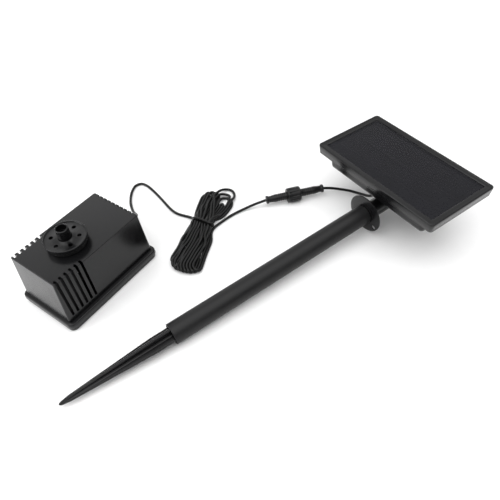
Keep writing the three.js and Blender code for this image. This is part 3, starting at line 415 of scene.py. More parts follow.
TIE = (  # the tie round the waist, each point with the level it starts at
    ((67.4, 17.0, 3.0), 0), ((66.8, 16.4, 9.0), 4), ((66.6, 13.0, 10.0), OVER), ((65.6, 4.0, 10.0), OVER),
    ((64.0, -4.0, 10.0), OVER), ((62.0, -11.6, 10.0), OVER), ((60.6, -16.4, 9.0), 4.5),
    ((60.4, -16.8, 4.0), 0),
    ((61.0, -13.0, 1.8), 0), ((62.6, -8.0, 1.8), 0), ((64.4, 0.0, 1.8), 0), ((65.2, 8.0, 1.8), 0),
    ((62.4, 14.0, 2.2), 0), ((55.0, 15.0, 3.0), 0),
)
STEP = 2.6  # between the points of the settling cord
FINE_STEP = 1.1  # between the points of the finished cord
LAY_LEVEL = 2 * CORD  # height of one level of the laid turns
NEAR = 1.9 * CORD  # strands closer than this are watched for touching
OWN_RUN = 2.6 * CORD  # points closer than this along the cord don't push each other
APART = CORD * 1.02  # what touching strands are pushed to
SEARCH_EVERY = 8  # rounds between searches for near strands
TIE_S = 62.0  # where the tie goes round the hank, and how far from there it strays
TIE_STRAY = (7, 20)
TIE_POINTS = 70  # length of the tie's wrap
GRIP_S = 61  # the tie draws the turns in about here
GRIP_REACH = 12
GRIP_SIDES = (-12.6, 12.0)
GRIP_RATE = 0.2
JOIN_POINTS = 22  # how far the easing of a lead's join reaches
JOIN_ROUNDS = 140
RIPPLE_RATE = 0.04  # easing of the settled part away from its joins


def in_mm(points):
    return np.array(points) / MM


def hank_to_world(p):
    s, t, h = p
    c, n = math.cos(HANK_YAW), math.sin(HANK_YAW)
    return HANK_FOOT[0] + s * c - t * n, HANK_FOOT[1] + s * n + t * c, h


def eased_run(start, end, steps):
    made = []
    for i in range(1, steps):
        w = i / steps
        ease = w * w * (3 - 2 * w)
        made.append((start[0] + (end[0] - start[0]) * w, start[1] + (end[1] - start[1]) * ease,
                     start[2] + (end[2] - start[2]) * ease))
    return made


def half_turn(centre, across, ahead, steps):
    c, a, n = np.array(centre), np.array(across), np.array(ahead)
    angles = [math.pi * i / steps for i in range(steps + 1)]
    return [tuple(c + a * math.cos(angle) + n * math.sin(angle)) for angle in angles]


def foot_fold(k):
    middle = FOOT_SIDE[0] - FOOT_SIDE[1] * k
    coming, going = (-6.0, 1.8), (6.0, 8.4)
    if k == TURNS - 1:
        coming, going = (5.0, 7.6), (-5.6, 1.8)
    t = (coming[0] + going[0]) / 2
    h = (coming[1] + going[1]) / 2
    across = (0, coming[0] - t, coming[1] - h)
    return half_turn((FOOT_TIPS[k] + FOLD, middle + t, h), across, (-FOLD, 0, 0), 8)


def head_fold(k):
    tip, up, back, up_h, back_h = HEAD_FOLDS[k]
    half = (up - back) / 2
    reach = min(max(half * 1.15, FOLD), 17)
    centre = (tip - reach, (up + back) / 2, (up_h + back_h) / 2)
    return half_turn(centre, (0, half, (up_h - back_h) / 2), (reach, 0, 0), 8 if half < 8 else 12)


def hank_route():
    """the way of the wound cord, each turn a level above the one before, ready to settle"""
    route = [point for point, level in TIE]
    levels = [level for point, level in TIE]

    def add(points, level):
        route.extend(points)
        levels.extend([level + 0.6] * len(points))

    fold = foot_fold(0)
    add(eased_run(route[-1], fold[0], 6) + fold, 0)
    for k in range(TURNS - 1):
        waist_up = (WAIST_S, 10.0 - 3.05 * k, 8.2)
        waist_back = (WAIST_S, 8.6 - 2.9 * k, 5.1)
        head = head_fold(k)
        fold = foot_fold(k + 1)
        add(eased_run(route[-1], waist_up, 7) + [waist_up] + eased_run(waist_up, head[0], 7), k)
        add(head, k + 0.5)
        going = eased_run(head[-1], waist_back, 7) + [waist_back]
        add(going + eased_run(waist_back, fold[0], 7) + fold, k + 1)
    world = np.array([hank_to_world(p) for p in route])
    world[:, 2] += LAY_LEVEL * np.array(levels)
    end = np.array(hank_to_world((50.0, -15.8, 0)))
    way_out = np.array([world[-1] + (end - world[-1]) * w for w in (0.35, 0.7, 1.0)])
    way_out[:, 2] = ON_GROUND / MM
    return np.vstack([in_mm(PUMP_LEAD), world, way_out, in_mm(HANK_LEAD)])


def smooth_line(points, step):
    """evenly spaced points on a centripetal Catmull-Rom curve"""
    points = np.asarray(points, float)
    p = np.vstack([2 * points[0] - points[1], points, 2 * points[-1] - points[-2]])
    curve = []
    for i in range(1, len(p) - 2):
        p0, p1, p2, p3 = p[i - 1:i + 3]
        t1 = max(np.linalg.norm(p1 - p0), 1e-6) ** 0.5
        t2 = t1 + max(np.linalg.norm(p2 - p1), 1e-6) ** 0.5
        t3 = t2 + max(np.linalg.norm(p3 - p2), 1e-6) ** 0.5
        t = np.linspace(t1, t2, 12, endpoint=False)[:, None]
        a1 = (t1 - t) / t1 * p0 + t / t1 * p1
        a2 = (t2 - t) / (t2 - t1) * p1 + (t - t1) / (t2 - t1) * p2
        a3 = (t3 - t) / (t3 - t2) * p2 + (t - t2) / (t3 - t2) * p3
        b1 = (t2 - t) / t2 * a1 + t / t2 * a2
        b2 = (t3 - t) / (t3 - t1) * a2 + (t - t1) / (t3 - t1) * a3
        curve.append((t2 - t) / (t2 - t1) * b1 + (t - t1) / (t2 - t1) * b2)
    return spaced(np.vstack(curve + [p[-2:-1]]), step)


def spaced(points, step):
    run = np.concatenate([[0], np.cumsum(np.linalg.norm(np.diff(points, axis=0), axis=1))])
    where = np.linspace(0, run[-1], int(round(run[-1] / step)) + 1)
    return np.stack([np.interp(where, run, points[:, k]) for k in range(3)], 1)


def blurred(moves, times=2):
    for _ in range(times):
        q = np.vstack([moves[:1], moves, moves[-1:]])
        moves = (q[:-2] + 2 * q[1:-1] + q[2:]) / 4
    return moves


def loose_part(p):
    """the points between the two leads, which are free to settle"""
    first = np.argmin(np.linalg.norm(p - in_mm(PUMP_LEAD[-3]), axis=1))
    last = np.argmin(np.linalg.norm(p - in_mm(HANK_LEAD[1]), axis=1))
    at = np.arange(len(p))
    return (at >= first) & (at < last)


def settle(p, rounds, fall, pull, stiffness, open_bend):
    """lets the cord down on itself: strands lie a diameter apart, and bends stay open

    fall is the drop of a round, pull the share of the way back to the laid route that a round takes,
    stiffness how fast a bend opens and open_bend the radius it opens to.
    """
    n = len(p)
    step = np.linalg.norm(np.diff(p, axis=0), axis=1).mean()
    loose = loose_part(p)
    free = blurred(loose[:, None].astype(float), 6) * loose[:, None]
    live = np.nonzero(loose)[0]
    skip = int(math.ceil(OWN_RUN / step))
    home = p.copy()
    c, s = math.cos(HANK_YAW), math.sin(HANK_YAW)

    def along_and_side():
        dx, dy = p[:, 0] - HANK_FOOT[0], p[:, 1] - HANK_FOOT[1]
        return dx * c + dy * s, -dx * s + dy * c

    along, side = along_and_side()
    first = np.nonzero((np.abs(along - TIE_S) < TIE_STRAY[0]) & (np.abs(side) < TIE_STRAY[1]))[0][0]
    at = np.arange(n)
    tie = (at >= first) & (at < first + TIE_POINTS)
    for turn in range(rounds):
        if turn % SEARCH_EVERY == 0:
            q = p[live]
            square = (q ** 2).sum(1)
            apart = square[:, None] + square[None, :] - 2 * q @ q.T
            i, j = np.nonzero(np.triu(apart < NEAR ** 2, 1))
            i, j = live[i], live[j]
            far = j - i > skip
            i, j = i[far], j[far]
        p[:, 2] -= fall * free[:, 0]
        p[:, :2] += pull * (home - p)[:, :2] * free
        along, side = along_and_side()
        grip = np.clip(1.3 - np.abs(along - GRIP_S) / GRIP_REACH, 0, 1) * (~tie) * free[:, 0] * GRIP_RATE
        squeeze = grip * (np.clip(side, *GRIP_SIDES) - side)
        p[:, 0] -= squeeze * s
        p[:, 1] += squeeze * c
        for w in (1, 2, 3):
            off = (p[:-2 * w] + p[2 * w:]) / 2 - p[w:n - w]
            most = (w * step) ** 2 / (2 * open_bend)
            size = np.linalg.norm(off, axis=1, keepdims=True) + 1e-9
            even_out = 0.06 if w == 1 else 0.005
            p[w:n - w] += (stiffness * np.maximum(1 - most / size, 0) + even_out) * off * free[w:n - w]
        run = p[2:] - p[:-2]
        run /= np.linalg.norm(run, axis=1, keepdims=True) + 1e-9
        off = (p[:-2] + p[2:]) / 2 - p[1:-1]
        p[1:-1] += 0.5 * (off * run).sum(1, keepdims=True) * run * free[1:-1]
        for _ in range(3):
            d = p[i] - p[j]
            distance = np.linalg.norm(d, axis=1) + 1e-9
            over = np.maximum(APART - distance, 0) / distance
            push = over[:, None] * d * 0.5
            hits = np.bincount(i, over > 0, n) + np.bincount(j, over > 0, n)
            move = [np.bincount(i, push[:, k], n) - np.bincount(j, push[:, k], n) for k in range(3)]
            p = p + free * blurred(np.stack(move, 1) / np.maximum(hits, 1)[:, None]) * 1.2
            low = np.maximum(ON_GROUND / MM - p[:, 2], 0)
            p[:, 2] += blurred(low[:, None])[:, 0] * free[:, 0]
    return p


def wound_cord():
    p = smooth_line(hank_route(), STEP)
    p = spaced(settle(p, 480, 0.17, 0.02, 0.5, FOLD), STEP)
    p = spaced(settle(p, 80, 0.02, 0.0, 0.45, OPEN_FOLD), STEP)
    p = spaced(settle(p, 40, 0.01, 0.0, 0.45, OPEN_FOLD), STEP)
    return eased_joins(smooth_line(p, FINE_STEP))


def eased_joins(p):
    """rounds the cord where its leads meet the settled part, and eases that part a little all along"""
    loose = np.nonzero(loose_part(p))[0]
    at = np.arange(len(p))
    near = np.zeros(len(p))
    for join in (loose[0], loose[-1]):
        near = np.maximum(near, np.exp(-((at - join) / JOIN_POINTS) ** 2))
    near[loose] = np.maximum(near[loose], RIPPLE_RATE)
    near[:3] = near[-3:] = 0
    for _ in range(JOIN_ROUNDS):
        middle = (p[:-2] + p[2:]) / 2
        p[1:-1] += 0.5 * near[1:-1, None] * (middle - p[1:-1])
    return p


def curve_cord(name, points):
    data = bpy.data.curves.new(name, "CURVE")
    data.dimensions = "3D"
    data.bevel_depth = CORD / 2 * MM
    data.bevel_resolution = 5
    data.use_fill_caps = True
    spline = data.splines.new("POLY")
    spline.points.add(len(points) - 1)
    for point, place in zip(spline.points, points):
        point.co = (*[v * MM for v in place], 1)
    spline.use_smooth = True
    made = bpy.data.objects.new(name, data)
    bpy.context.scene.collection.objects.link(made)
    return made


def tube_mesh(points, radius, sides=20):
    """a round tube along points, carried without twist"""
    p = [Vector(q) for q in points]
    rings = []
    side = None
    for i, here in enumerate(p):
        run = (p[min(i + 1, len(p) - 1)] - p[max(i - 1, 0)]).normalized()
        if side is None:
            side = run.orthogonal().normalized()
        side = (side - run * side.dot(run)).normalized()
        up = run.cross(side)
        rings.append([tuple(here + (side * math.cos(a) + up * math.sin(a)) * radius) for a in turns(sides)])
    return skin(rings)


def make_cords():
    points = wound_cord()
    pump_cord = curve_cord("pump_cord", points)
    pump_cord.data.materials.append(LOOKS["cord_rubber"])
    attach(pump_cord, "stand")
    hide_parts("pump_lead", "cord_hank", "hank_lead")

    path = smooth_line(in_mm(PANEL_LEAD[::-1]), 1.5)
    panel_cord = mesh_object("panel_cord", tube_mesh(path, CORD / 2), TO_METRES)
    for polygon in panel_cord.data.polygons:
        polygon.use_smooth = True
    panel_cord.data.materials.append(LOOKS["cord_rubber"])
    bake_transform(panel_cord)
    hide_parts("panel_lead")
    lengths = [np.linalg.norm(np.diff(p, axis=0), axis=1).sum() for p in (points, path)]
    print("cord lengths, mm:", lengths)


# ------------------------------------------------------------------ pump box
COVER_LOW = 11 + GAP
COVER_TOP = 69.2
COVER_HALF = (63.0, 36.3)
COVER_DRAFT = (4.0, 1.9)
COVER_WALL = 2.0
RING_X = -11.3  # the outlet's axis, along the pump
NOZZLE_R = 6.9
NOZZLE_BORE = 5.5
PUMP_GLAND_Y = 12
PUMP_GLAND_Z = 18.2
GLAND_NOTCH = 4.4  # half of the notch that the cover has round the gland
SLOT_HALF = 1.5
SIDE_SLOTS = 6
SIDE_SLOT_PITCH = 6.45
END_SLOTS = 9
END_SLOT_PITCH = 6.4
LIGHT_SEATS = 6
SEAT_REACH = 14.8  # from the outlet's axis to a seat's middle
SEAT_R = 2.3


def cover_half(z):
    rise = (z - COVER_LOW) / (COVER_TOP - COVER_LOW)
    return COVER_HALF[0] - rise * COVER_DRAFT[0], COVER_HALF[1] - rise * COVER_DRAFT[1]


def cover_ring(z, inset, corner):
    hx, hy = cover_half(z)
    return rounded(hx - inset, hy - inset, corner, z)


def make_cover():
    edge, corner = 0.9, 2.2
    rings = [
        cover_ring(COVER_TOP - COVER_WALL, COVER_WALL, 0.6),
        cover_ring(COVER_LOW, COVER_WALL, 0.6),
        cover_ring(COVER_LOW, 0.2, corner),
        cover_ring(COVER_LOW + 0.2, 0, corner),
    ]
    for i in range(5):
        a = math.radians(90 * i / 4)
        inset = edge * (1 - math.cos(a))
        rings.append(cover_ring(COVER_TOP - edge + edge * math.sin(a), inset, corner - inset))
    slots = []
    half = SLOT_HALF
    past = 5  # how far the cuts run past the faces
    inner_y = cover_half(COVER_TOP)[1] - 5
    for i in range(SIDE_SLOTS):
        x = 7.7 - COVER_HALF[0] + i * SIDE_SLOT_PITCH
        for y0, y1 in ((inner_y, 42), (-42, -inner_y)):
            slots.append(block((x - half, y0, 17.2), (x + half, y1, COVER_TOP + past)))
    inner_x = cover_half(COVER_TOP)[0] - 2.5
    for i in range(END_SLOTS):
        y = (i - END_SLOTS // 2) * END_SLOT_PITCH
        slots.append(block((inner_x, y - half, 28), (COVER_HALF[0] + past, y + half, COVER_TOP + past)))
    gland = block((31.5, PUMP_GLAND_Y - GLAND_NOTCH, COVER_LOW - past),
                  (COVER_HALF[0] + past, PUMP_GLAND_Y + GLAND_NOTCH, PUMP_GLAND_Z + GLAND_NOTCH))
    hole = rod_z(NOZZLE_R + 2 * GAP, COVER_TOP - 4, COVER_TOP + past, (RING_X, 0), 64)
    piece("cover_shell", skin(rings), PUMP, "pump_cover", "pump_cover", "black_plastic",
          cuts=[joined(*slots, gland, hole)], edge=0)


def make_tray():
    hx, hy = COVER_HALF[0] + 4, COVER_HALF[1] + 5.4
    rings = []
    for inset, z in ((1.9, 0), (1.2, 0.4), (1.0, 1.2), (0.85, 5.2), (0.25, 5.5), (0.05, 5.9), (0.45, 9.6),
                     (0.62, 10.3), (1.0, 10.8), (1.5, 11.0)):
        rings.append(rounded(hx - inset, hy - inset, 7 - inset * 0.5, z, 12))
    lip = COVER_WALL + GAP
    lip_hx, lip_hy = (h - lip for h in cover_half(COVER_LOW))
    for inset, z in ((0, 11.0), (0.15, 13.7), (0.4, 14.0), (1.5, 14.0), (1.75, 13.7), (1.8, 3.0)):
        rings.append(rounded(lip_hx - inset, lip_hy - inset, 1.0, z, 12))
    piece("tray_shell", skin(rings), PUMP, "base_tray", "stand", "black_plastic",
          edge=0.2, segments=2, angle=50)


def make_ring():
    low, top, deck = COVER_TOP + GAP, COVER_TOP + 9.5, COVER_TOP + 8.3
    bore = NOZZLE_R + GAP
    profile = [
        (21.6, low), (22.0, low + 0.6), (23.15, top - 1.1), (23.2, top - 0.5), (23.0, top - 0.12),
        (22.6, top),
        (22.1, top), (21.7, top - 0.15), (21.45, top - 0.6), (21.2, deck + 0.05), (20.8, deck),
        (bore + 1.6, deck), (bore + 1.1, deck + 0.35), (bore + 0.3, deck + 0.35), (bore, deck + 0.1),
        (bore, low),
        (bore + 2.3, low), (bore + 2.3, deck - 2), (20.5, deck - 2), (19.6, low),
    ]
    holes = []
    for i in range(LIGHT_SEATS):
        angle = math.radians(11 + 60 * i)
        at = (SEAT_REACH * math.cos(angle), SEAT_REACH * math.sin(angle))
        holes.append(rod_z(SEAT_R, low - 1, top + 1, at, 40))
    shift = Matrix.Translation((RING_X, 0, 0))
    piece("ring_shell", lathe_z(profile, 128, loop=True), PUMP @ shift, "outlet_ring", "pump_cover",
          "black_plastic", cuts=[joined(*holes)], edge=0.22, segments=2, angle=50)
    foot, rim = COVER_TOP + 2.8, COVER_TOP + 21.1
    tube = [
        (NOZZLE_BORE, foot), (NOZZLE_R, foot), (NOZZLE_R, rim - 0.6), (6.8, rim - 0.25), (6.55, rim - 0.05),
        (6.3, rim), (6.0, rim), (5.75, rim - 0.1), (5.55, rim - 0.4), (NOZZLE_BORE, rim - 0.8),
    ]
    piece("nozzle_tube", lathe_z(tube, 96, loop=True), PUMP @ shift, "outlet_nozzle", "outlet_nozzle",
          "black_plastic", edge=0)


make_cover()
make_tray()
make_ring()


def make_pump_gland():
    start, end = 43.7, 76.0
    profile = [(3.3, start), (3.8, start), (3.8, start + 1.8), (3.3, start + 2.2), (3.3, end - 12)]
    for i in range(4):
        x = end - 12 + 3 * i
        r = 3.3 - i * 0.25
        profile += [(r, x + 0.2), (r, x + 1.5), (r - 0.5, x + 1.8), (r - 0.5, x + 2.7), (r - 0.2, x + 3.0)]
    profile += [(2.3, end - 0.2), (2.1, end)]
    shift = Matrix.Translation((0, PUMP_GLAND_Y, PUMP_GLAND_Z))
    piece("pump_gland", lathe_x(profile, 48), PUMP @ shift, "pump_cord_gland", "stand", "cord_rubber", edge=0)


make_pump_gland()


# ------------------------------------------------------------------ stake
def star(x, arm, web, fillet):
    """a ring round a four-armed star with rounded arm ends and filleted roots"""
    t = web / 2
    end = min(t * 0.7, 1.2)
    ring = []
    for quarter in range(4):
        points = []
        for i in range(4):
            a = math.radians(30 * i)
            points.append((arm - end + end * math.cos(a), t - end + end * math.sin(a)))
        for i in range(6):
            a = math.radians(270 - 90 * i / 5)
            points.append((t + fillet + fillet * math.cos(a), t + fillet + fillet * math.sin(a)))
        for i in range(4):
            a = math.radians(30 * i)
            points.append((t - end + end * math.cos(a), arm - end + end * math.sin(a)))
        c, s = round(math.cos(quarter * math.pi / 2)), round(math.sin(quarter * math.pi / 2))
        ring += [(x, c * y - s * z, s * y + c * z) for y, z in points]
    return ring


def make_spike():
    arm = TUBE_BORE - GAP
    marks = ((0, 0.5, 0.7), (0.5, 0.95, 1.3), (1.3, 1.5, 1.9), (2.5, 2.0, 2.4), (11, arm * 0.36, 2.7),
             (103, arm, 3.0), (158, arm, 3.0))
    at = [m[0] for m in marks]
    stations = [0, 0.5, 1.3, 2.5, 4.5, 7, 11] + list(range(16, 103, 6)) + [101, 103, 105, 110, 130, 158]
    rings = []
    for x in stations:
        reach = float(np.interp(x, at, [m[1] for m in marks]))
        web = float(np.interp(x, at, [m[2] for m in marks]))
        fillet = max(min((reach - web / 2) * 0.45, 1.8), 0.05)
        rings.append(star(x, reach, web, fillet))
    piece("spike", skin(rings), STAKE, "stake_spike", "stand", "black_plastic", edge=0)


def make_tube():
    inner = TUBE_BORE
    end = FLANGE_AT - 1.2 - GAP
    profile = [
        (inner, TUBE_LOW + 0.5), (inner + 0.4, TUBE_LOW), (TUBE_R - 0.7, TUBE_LOW),
        (TUBE_R - 0.2, TUBE_LOW + 0.2),
        (TUBE_R, TUBE_LOW + 0.7), (TUBE_R, TUBE_LOW + 60), (TUBE_R, end - 60), (TUBE_R, end - 0.4),
        (TUBE_R - 0.4, end), (inner, end),
    ]
    piece("tube", lathe_x(profile, 128, loop=True), STAKE, "stake_tube", "stand", "tube_plastic", edge=0)


def ear(y0, y1, neck_end):
    outline = [(neck_end - 4, -EAR_R), (neck_end - 4, EAR_R)]
    for i in range(25):
        a = math.radians(90 - 180 * i / 24)
        outline.append((PIVOT_ALONG + EAR_R * math.cos(a), EAR_R * math.sin(a)))
    return skin([[(x, y, z) for x, z in outline] for y in (y0, y1)])


def make_bracket():
    back = FLANGE_AT + 4
    web = FLANGE_AT + 1.4
    stub = TUBE_BORE - GAP
    shoulder = FLANGE_AT - 1.2
    neck = 10.4
    neck_end = PIVOT_ALONG - 11
    profile = [
        (stub - 3, FLANGE_AT - 3), (stub - 3, FLANGE_AT - 40), (stub, FLANGE_AT - 40), (stub, shoulder),
        (TUBE_R + 0.5, shoulder), (TUBE_R + 0.5, FLANGE_AT), (FLANGE_R - 0.5, FLANGE_AT),
        (FLANGE_R - 0.1, FLANGE_AT + 0.15), (FLANGE_R, FLANGE_AT + 0.5), (FLANGE_R, web - 0.4),
        (FLANGE_R - 0.3, web),
    ]
    for i in range(7):
        a = math.radians(90 * i / 6)
        profile.append((neck + 5 - 5 * math.sin(a), web + (back + 3 - web) * (1 - math.cos(a))))
    profile += [(neck, neck_end - 1), (neck - 0.3, neck_end - 0.3), (neck - 1, neck_end)]
    holes = [rod_y(HINGE_R + GAP, -12, 12, (PIVOT_ALONG, 0), 48)]
    hole_angle = math.radians(36.5)
    for side in (-1, 1):
        y, z = side * SCREW_HOLE_REACH * math.cos(hole_angle), -SCREW_HOLE_REACH * math.sin(hole_angle)
        points, faces = lathe_x([(2.7, FLANGE_AT - 1), (2.7, back)], 40)
        holes.append(([(px, py + y, pz + z) for px, py, pz in points], faces))
    piece("bracket", lathe_x(profile, 128), STAKE, "stake_bracket", "stand", "black_plastic",
          adds=[joined(ear(EAR_IN, EAR_OUT, neck_end), ear(-EAR_OUT, -EAR_IN, neck_end))],
          cuts=[joined(*holes)], edge=0.3, segments=3, angle=50)


def cross_cut(size, depth_from, depth_to):
    return joined(block((-size, -0.42, depth_from), (size, 0.42, depth_to)),
                  block((-0.42, -size, depth_from), (0.42, size, depth_to)))


def make_hinge_pin():
    out = EAR_OUT + GAP
    turn = STAKE @ Matrix.Translation((PIVOT_ALONG, 0, 0)) @ Matrix.Rotation(math.radians(90), 4, "X")
    bolt = [
        (1.9, -out - 4), (2.25, -out - 3.6), (2.25, out - 0.1), (4.5, out), (4.6, out + 0.4),
        (4.5, out + 1.4),
        (4.1, out + 2.3), (3.3, out + 2.8), (2.2, out + 3.0),
    ]
    piece("hinge_screw", lathe_z(bolt, 64), turn, "hinge_bolt", "stand", "steel",
          cuts=[cross_cut(2.4, out + 1.2, out + 4)], edge=0.12, segments=2)
    nut = [(2.6, -out - 3), (3.7, -out - 3), (4.45, -out - 2.6), (4.55, -out - 2.2), (4.55, -out - 0.7),
           (4.45, -out - 0.3), (3.7, -out), (2.6, -out)]
    profile = [(z, r) for r, z in nut]
    piece("hinge_hex", hex_ring(profile), turn, "hinge_nut", "stand", "steel", edge=0.1, segments=2)


def hex_ring(profile):
    """a six-sided nut with a round bore, from its profile of height and corner radius"""
    rings = []
    for z, r in profile:
        ring = []
        for a in turns(48):
            flat = math.cos(math.radians(30)) / math.cos((a % math.radians(60)) - math.radians(30))
            radius = r if r < 3 else min(r * flat, r)
            ring.append((radius * math.cos(a), radius * math.sin(a), z))
        rings.append(ring)
    return skin(rings, loop=True)


make_spike()
make_tube()
make_bracket()
make_hinge_pin()

# ------------------------------------------------------------------ panel
PANEL_HALF = (99.5 / 2, 179.0 / 2)
PANEL_TOP = 47.5
PANEL_LOW = PANEL_TOP - 12
CAVITY_HALF = tuple(h - 2.5 for h in PANEL_HALF)
SHEET_HALF = tuple(h - GAP for h in CAVITY_HALF)
GLASS_TOP = PANEL_TOP - 1.2 - GAP
GLASS_LOW = GLASS_TOP - 2
SHEET_LOW = GLASS_LOW - GAP - 0.4 - GAP - 1.2
PLATE_LOW = PANEL_LOW + GAP
PLATE_TOP = PLATE_LOW + 2
BOX_LOW = 18.6
BOX_HALF = (PANEL_HALF[0] - 7.75, PANEL_HALF[1] - 14.5)
TONGUE_R = 7.2  # the tongue that stands between the hinge ears
LEAD_GLAND_AT = (-9, 22.5)
SCREWS = [(sx * 43.4, sy * 82.6) for sx in (1, -1) for sy in (1, -1)]


def panel_ring(inset, corner, z):
    return rounded(PANEL_HALF[0] - inset, PANEL_HALF[1] - inset, corner, z, 10)


def make_panel_frame():
    top = PANEL_TOP
    rings = []
    for inset, corner, z in (
        (2.5, 0.8, PANEL_LOW), (1.3, 3.6, PANEL_LOW), (0.9, 4, PANEL_LOW + 0.4), (0.1, 4, top - 3.2),
        (0, 4, top - 2.6), (0, 4, top - 1.1), (0.12, 3.9, top - 0.5), (0.5, 3.6, top - 0.1), (1.0, 3.2, top),
        (2.2, 2.4, top), (2.5, 2.2, top - 0.15), (2.65, 2.1, top - 0.45), (3.0, 1.9, top - 0.5),
        (6.1, 1.2, top - 0.4), (7.4, 0.9, top - 1.0), (7.5, 0.8, top - 1.1), (7.5, 0.8, top - 1.2),
        (2.5, 0.8, top - 1.2),
    ):
        rings.append(panel_ring(inset, corner, z))
    low, high = PLATE_TOP + GAP, SHEET_LOW - GAP
    post = [(1.5, low), (4, low), (4, high), (1.5, high)]
    posts = [lathe_z(post, 32, loop=True, at=at) for at in SCREWS]
    piece("frame_rim", joined(skin(rings, loop=True), *posts), PANEL, "panel_frame", "solar_panel",
          "black_plastic", edge=0.12, segments=2, angle=60)


def make_glass():
    rings = []
    for inset, z in ((0.3, GLASS_LOW), (0, GLASS_LOW + 0.3), (0, GLASS_TOP - 0.3), (0.3, GLASS_TOP)):
        rings.append(rounded(SHEET_HALF[0] - inset, SHEET_HALF[1] - inset, 1.0, z, 6))
    piece("glass_pane", skin(rings), PANEL, "panel_glass", "solar_panel", "panel_glass", edge=0)


def make_rear_box():
    slope, wall = 1.2, 2.0
    rings = []
    for inset, corner, z in ((3.4, 2.6, BOX_LOW), (2.75, 3.2, BOX_LOW + 0.15), (2.0, 4.0, BOX_LOW + 0.75),
                             (1.3, 4.6, BOX_LOW + 1.7), (0.6, 5, BOX_LOW + 5), (0.05, 5, PLATE_LOW - 0.6),
                             (-0.3, 5.2, PLATE_LOW)):
        rings.append(rounded(BOX_HALF[0] - inset, BOX_HALF[1] - inset, corner, z, 10))
    rings.append(rounded(*SHEET_HALF, 1.0, PLATE_LOW, 10))
    rings.append(rounded(*SHEET_HALF, 1.0, PLATE_TOP, 10))
    for inset, z in ((wall + slope / 2, PLATE_TOP), (wall + 2 * slope, BOX_LOW + wall)):
        rings.append(rounded(BOX_HALF[0] - inset, BOX_HALF[1] - inset, 3, z, 10))
    half = EAR_IN - GAP
    outline = [(-TONGUE_R, BOX_LOW + 1), (TONGUE_R, BOX_LOW + 1)]
    for i in range(25):
        a = math.radians(-180 * i / 24)
        outline.append((TONGUE_R * math.cos(a), TONGUE_R * math.sin(a)))
    tongue = skin([[(x, y, z) for x, z in outline] for y in (-half, half)])
    holes = [rod_y(HINGE_R + GAP, -half - 1, half + 1, (0, 0), 48)]
    holes.append(rod_z(3.0, BOX_LOW - 1, BOX_LOW + 3, LEAD_GLAND_AT, 48))
    holes += [rod_z(1.5, PLATE_LOW - 1, PLATE_TOP + 1, at, 24) for at in SCREWS]
    piece("rear_housing", skin(rings), PANEL, "rear_box", "solar_panel", "black_plastic", adds=[tongue],
          cuts=[joined(*holes)], edge=0.4, segments=3, angle=50)


def make_panel_screws():
    for i, at in enumerate(SCREWS):
        top = PLATE_LOW - GAP
        place = PANEL @ Matrix.Translation((*at, top)) @ Matrix.Rotation(math.pi, 4, "X")
        profile = [
            (1.0, -5), (1.2, -4.6), (1.2, -0.02), (2.5, 0), (2.6, 0.3), (2.45, 0.9), (1.9, 1.3), (1.1, 1.5),
        ]
        piece(f"panel_screw_{i + 1}", lathe_z(profile, 40), place, f"box_screw_{i + 1}", "solar_panel",
              "steel", cuts=[cross_cut(1.35, 0.5, 2)], edge=0.08, segments=2)


def make_panel_gland():
    top = BOX_LOW - GAP
    profile = [
        (2.1, top - 6), (2.3, top - 5.8), (2.5, top - 5), (2.9, top - 4.8), (2.9, top - 4.2), (2.7, top - 4),
        (2.8, top - 3.3), (3.25, top - 3.1), (3.25, top - 2.5), (3.05, top - 2.3), (3.4, top - 1.3),
        (4.8, top - 1.2),
        (5.0, top - 1.0), (5.0, top), (2.7, top), (2.7, top + 4),
    ]
    piece("panel_gland", lathe_z(profile, 48, at=LEAD_GLAND_AT), PANEL, "panel_cord_gland", "solar_panel",
          "cord_rubber", edge=0)


make_panel_frame()
make_glass()
make_rear_box()
make_panel_screws()
make_panel_gland()

# ------------------------------------------------------------------ connector
NUT_START = 27.8
NUT_LENGTH = 17.6
NUT_R = 9.4
LINK_LENGTH = 76.6


def link_outline():
    """a half's outside from its cord end: collar, waist and body"""
    return [
        (4.4, 0.0), (5.0, 0.15), (5.2, 0.5), (5.2, 2.2), (5.0, 2.55), (4.3, 3.0), (4.2, 3.4), (4.2, 5.4),
        (4.35, 7.4),
        (4.7, 9.6), (4.95, 11.2), (5.0, 12.4),
    ]


def make_link():
    start = NUT_START + 1.8 + GAP
    ribs = []
    for i in range(4):
        x = 15.0 + 2.6 * i
        ribs += [(5.0, x), (4.7, x + 0.25), (4.7, x + 1.1), (5.0, x + 1.35)]
    socket = link_outline() + ribs + [(5.0, start), (7.1, start), (7.1, 32.0)]
    piece("socket_shell", lathe_x(socket, 64), LINK, "socket_half", "stand", "connector_plastic",
          edge=0.12, segments=2, angle=50)
    nose = NUT_START + NUT_LENGTH - 0.6
    plug = [(7.1, 33.3), (7.1, nose - 0.3), (6.8, nose), (5.4, nose), (5.0, nose + 0.5)]
    plug += [(r, LINK_LENGTH - x) for r, x in reversed(ribs)]
    plug += [(r, LINK_LENGTH - x) for r, x in reversed(link_outline())]
    piece("plug_shell", lathe_x(plug, 64), LINK, "plug_half", "stand", "connector_plastic",
          edge=0.12, segments=2, angle=50)


def nut_ring(x, radius, depth):
    ring = []
    for a in turns(144):
        away = abs((math.degrees(a) + 15) % 30 - 15) / 5.6
        w = min(max((1.25 - away) / 0.5, 0), 1)
        r = radius - depth * w * w * (3 - 2 * w)
        ring.append((x, r * math.cos(a), r * math.sin(a)))
    return ring


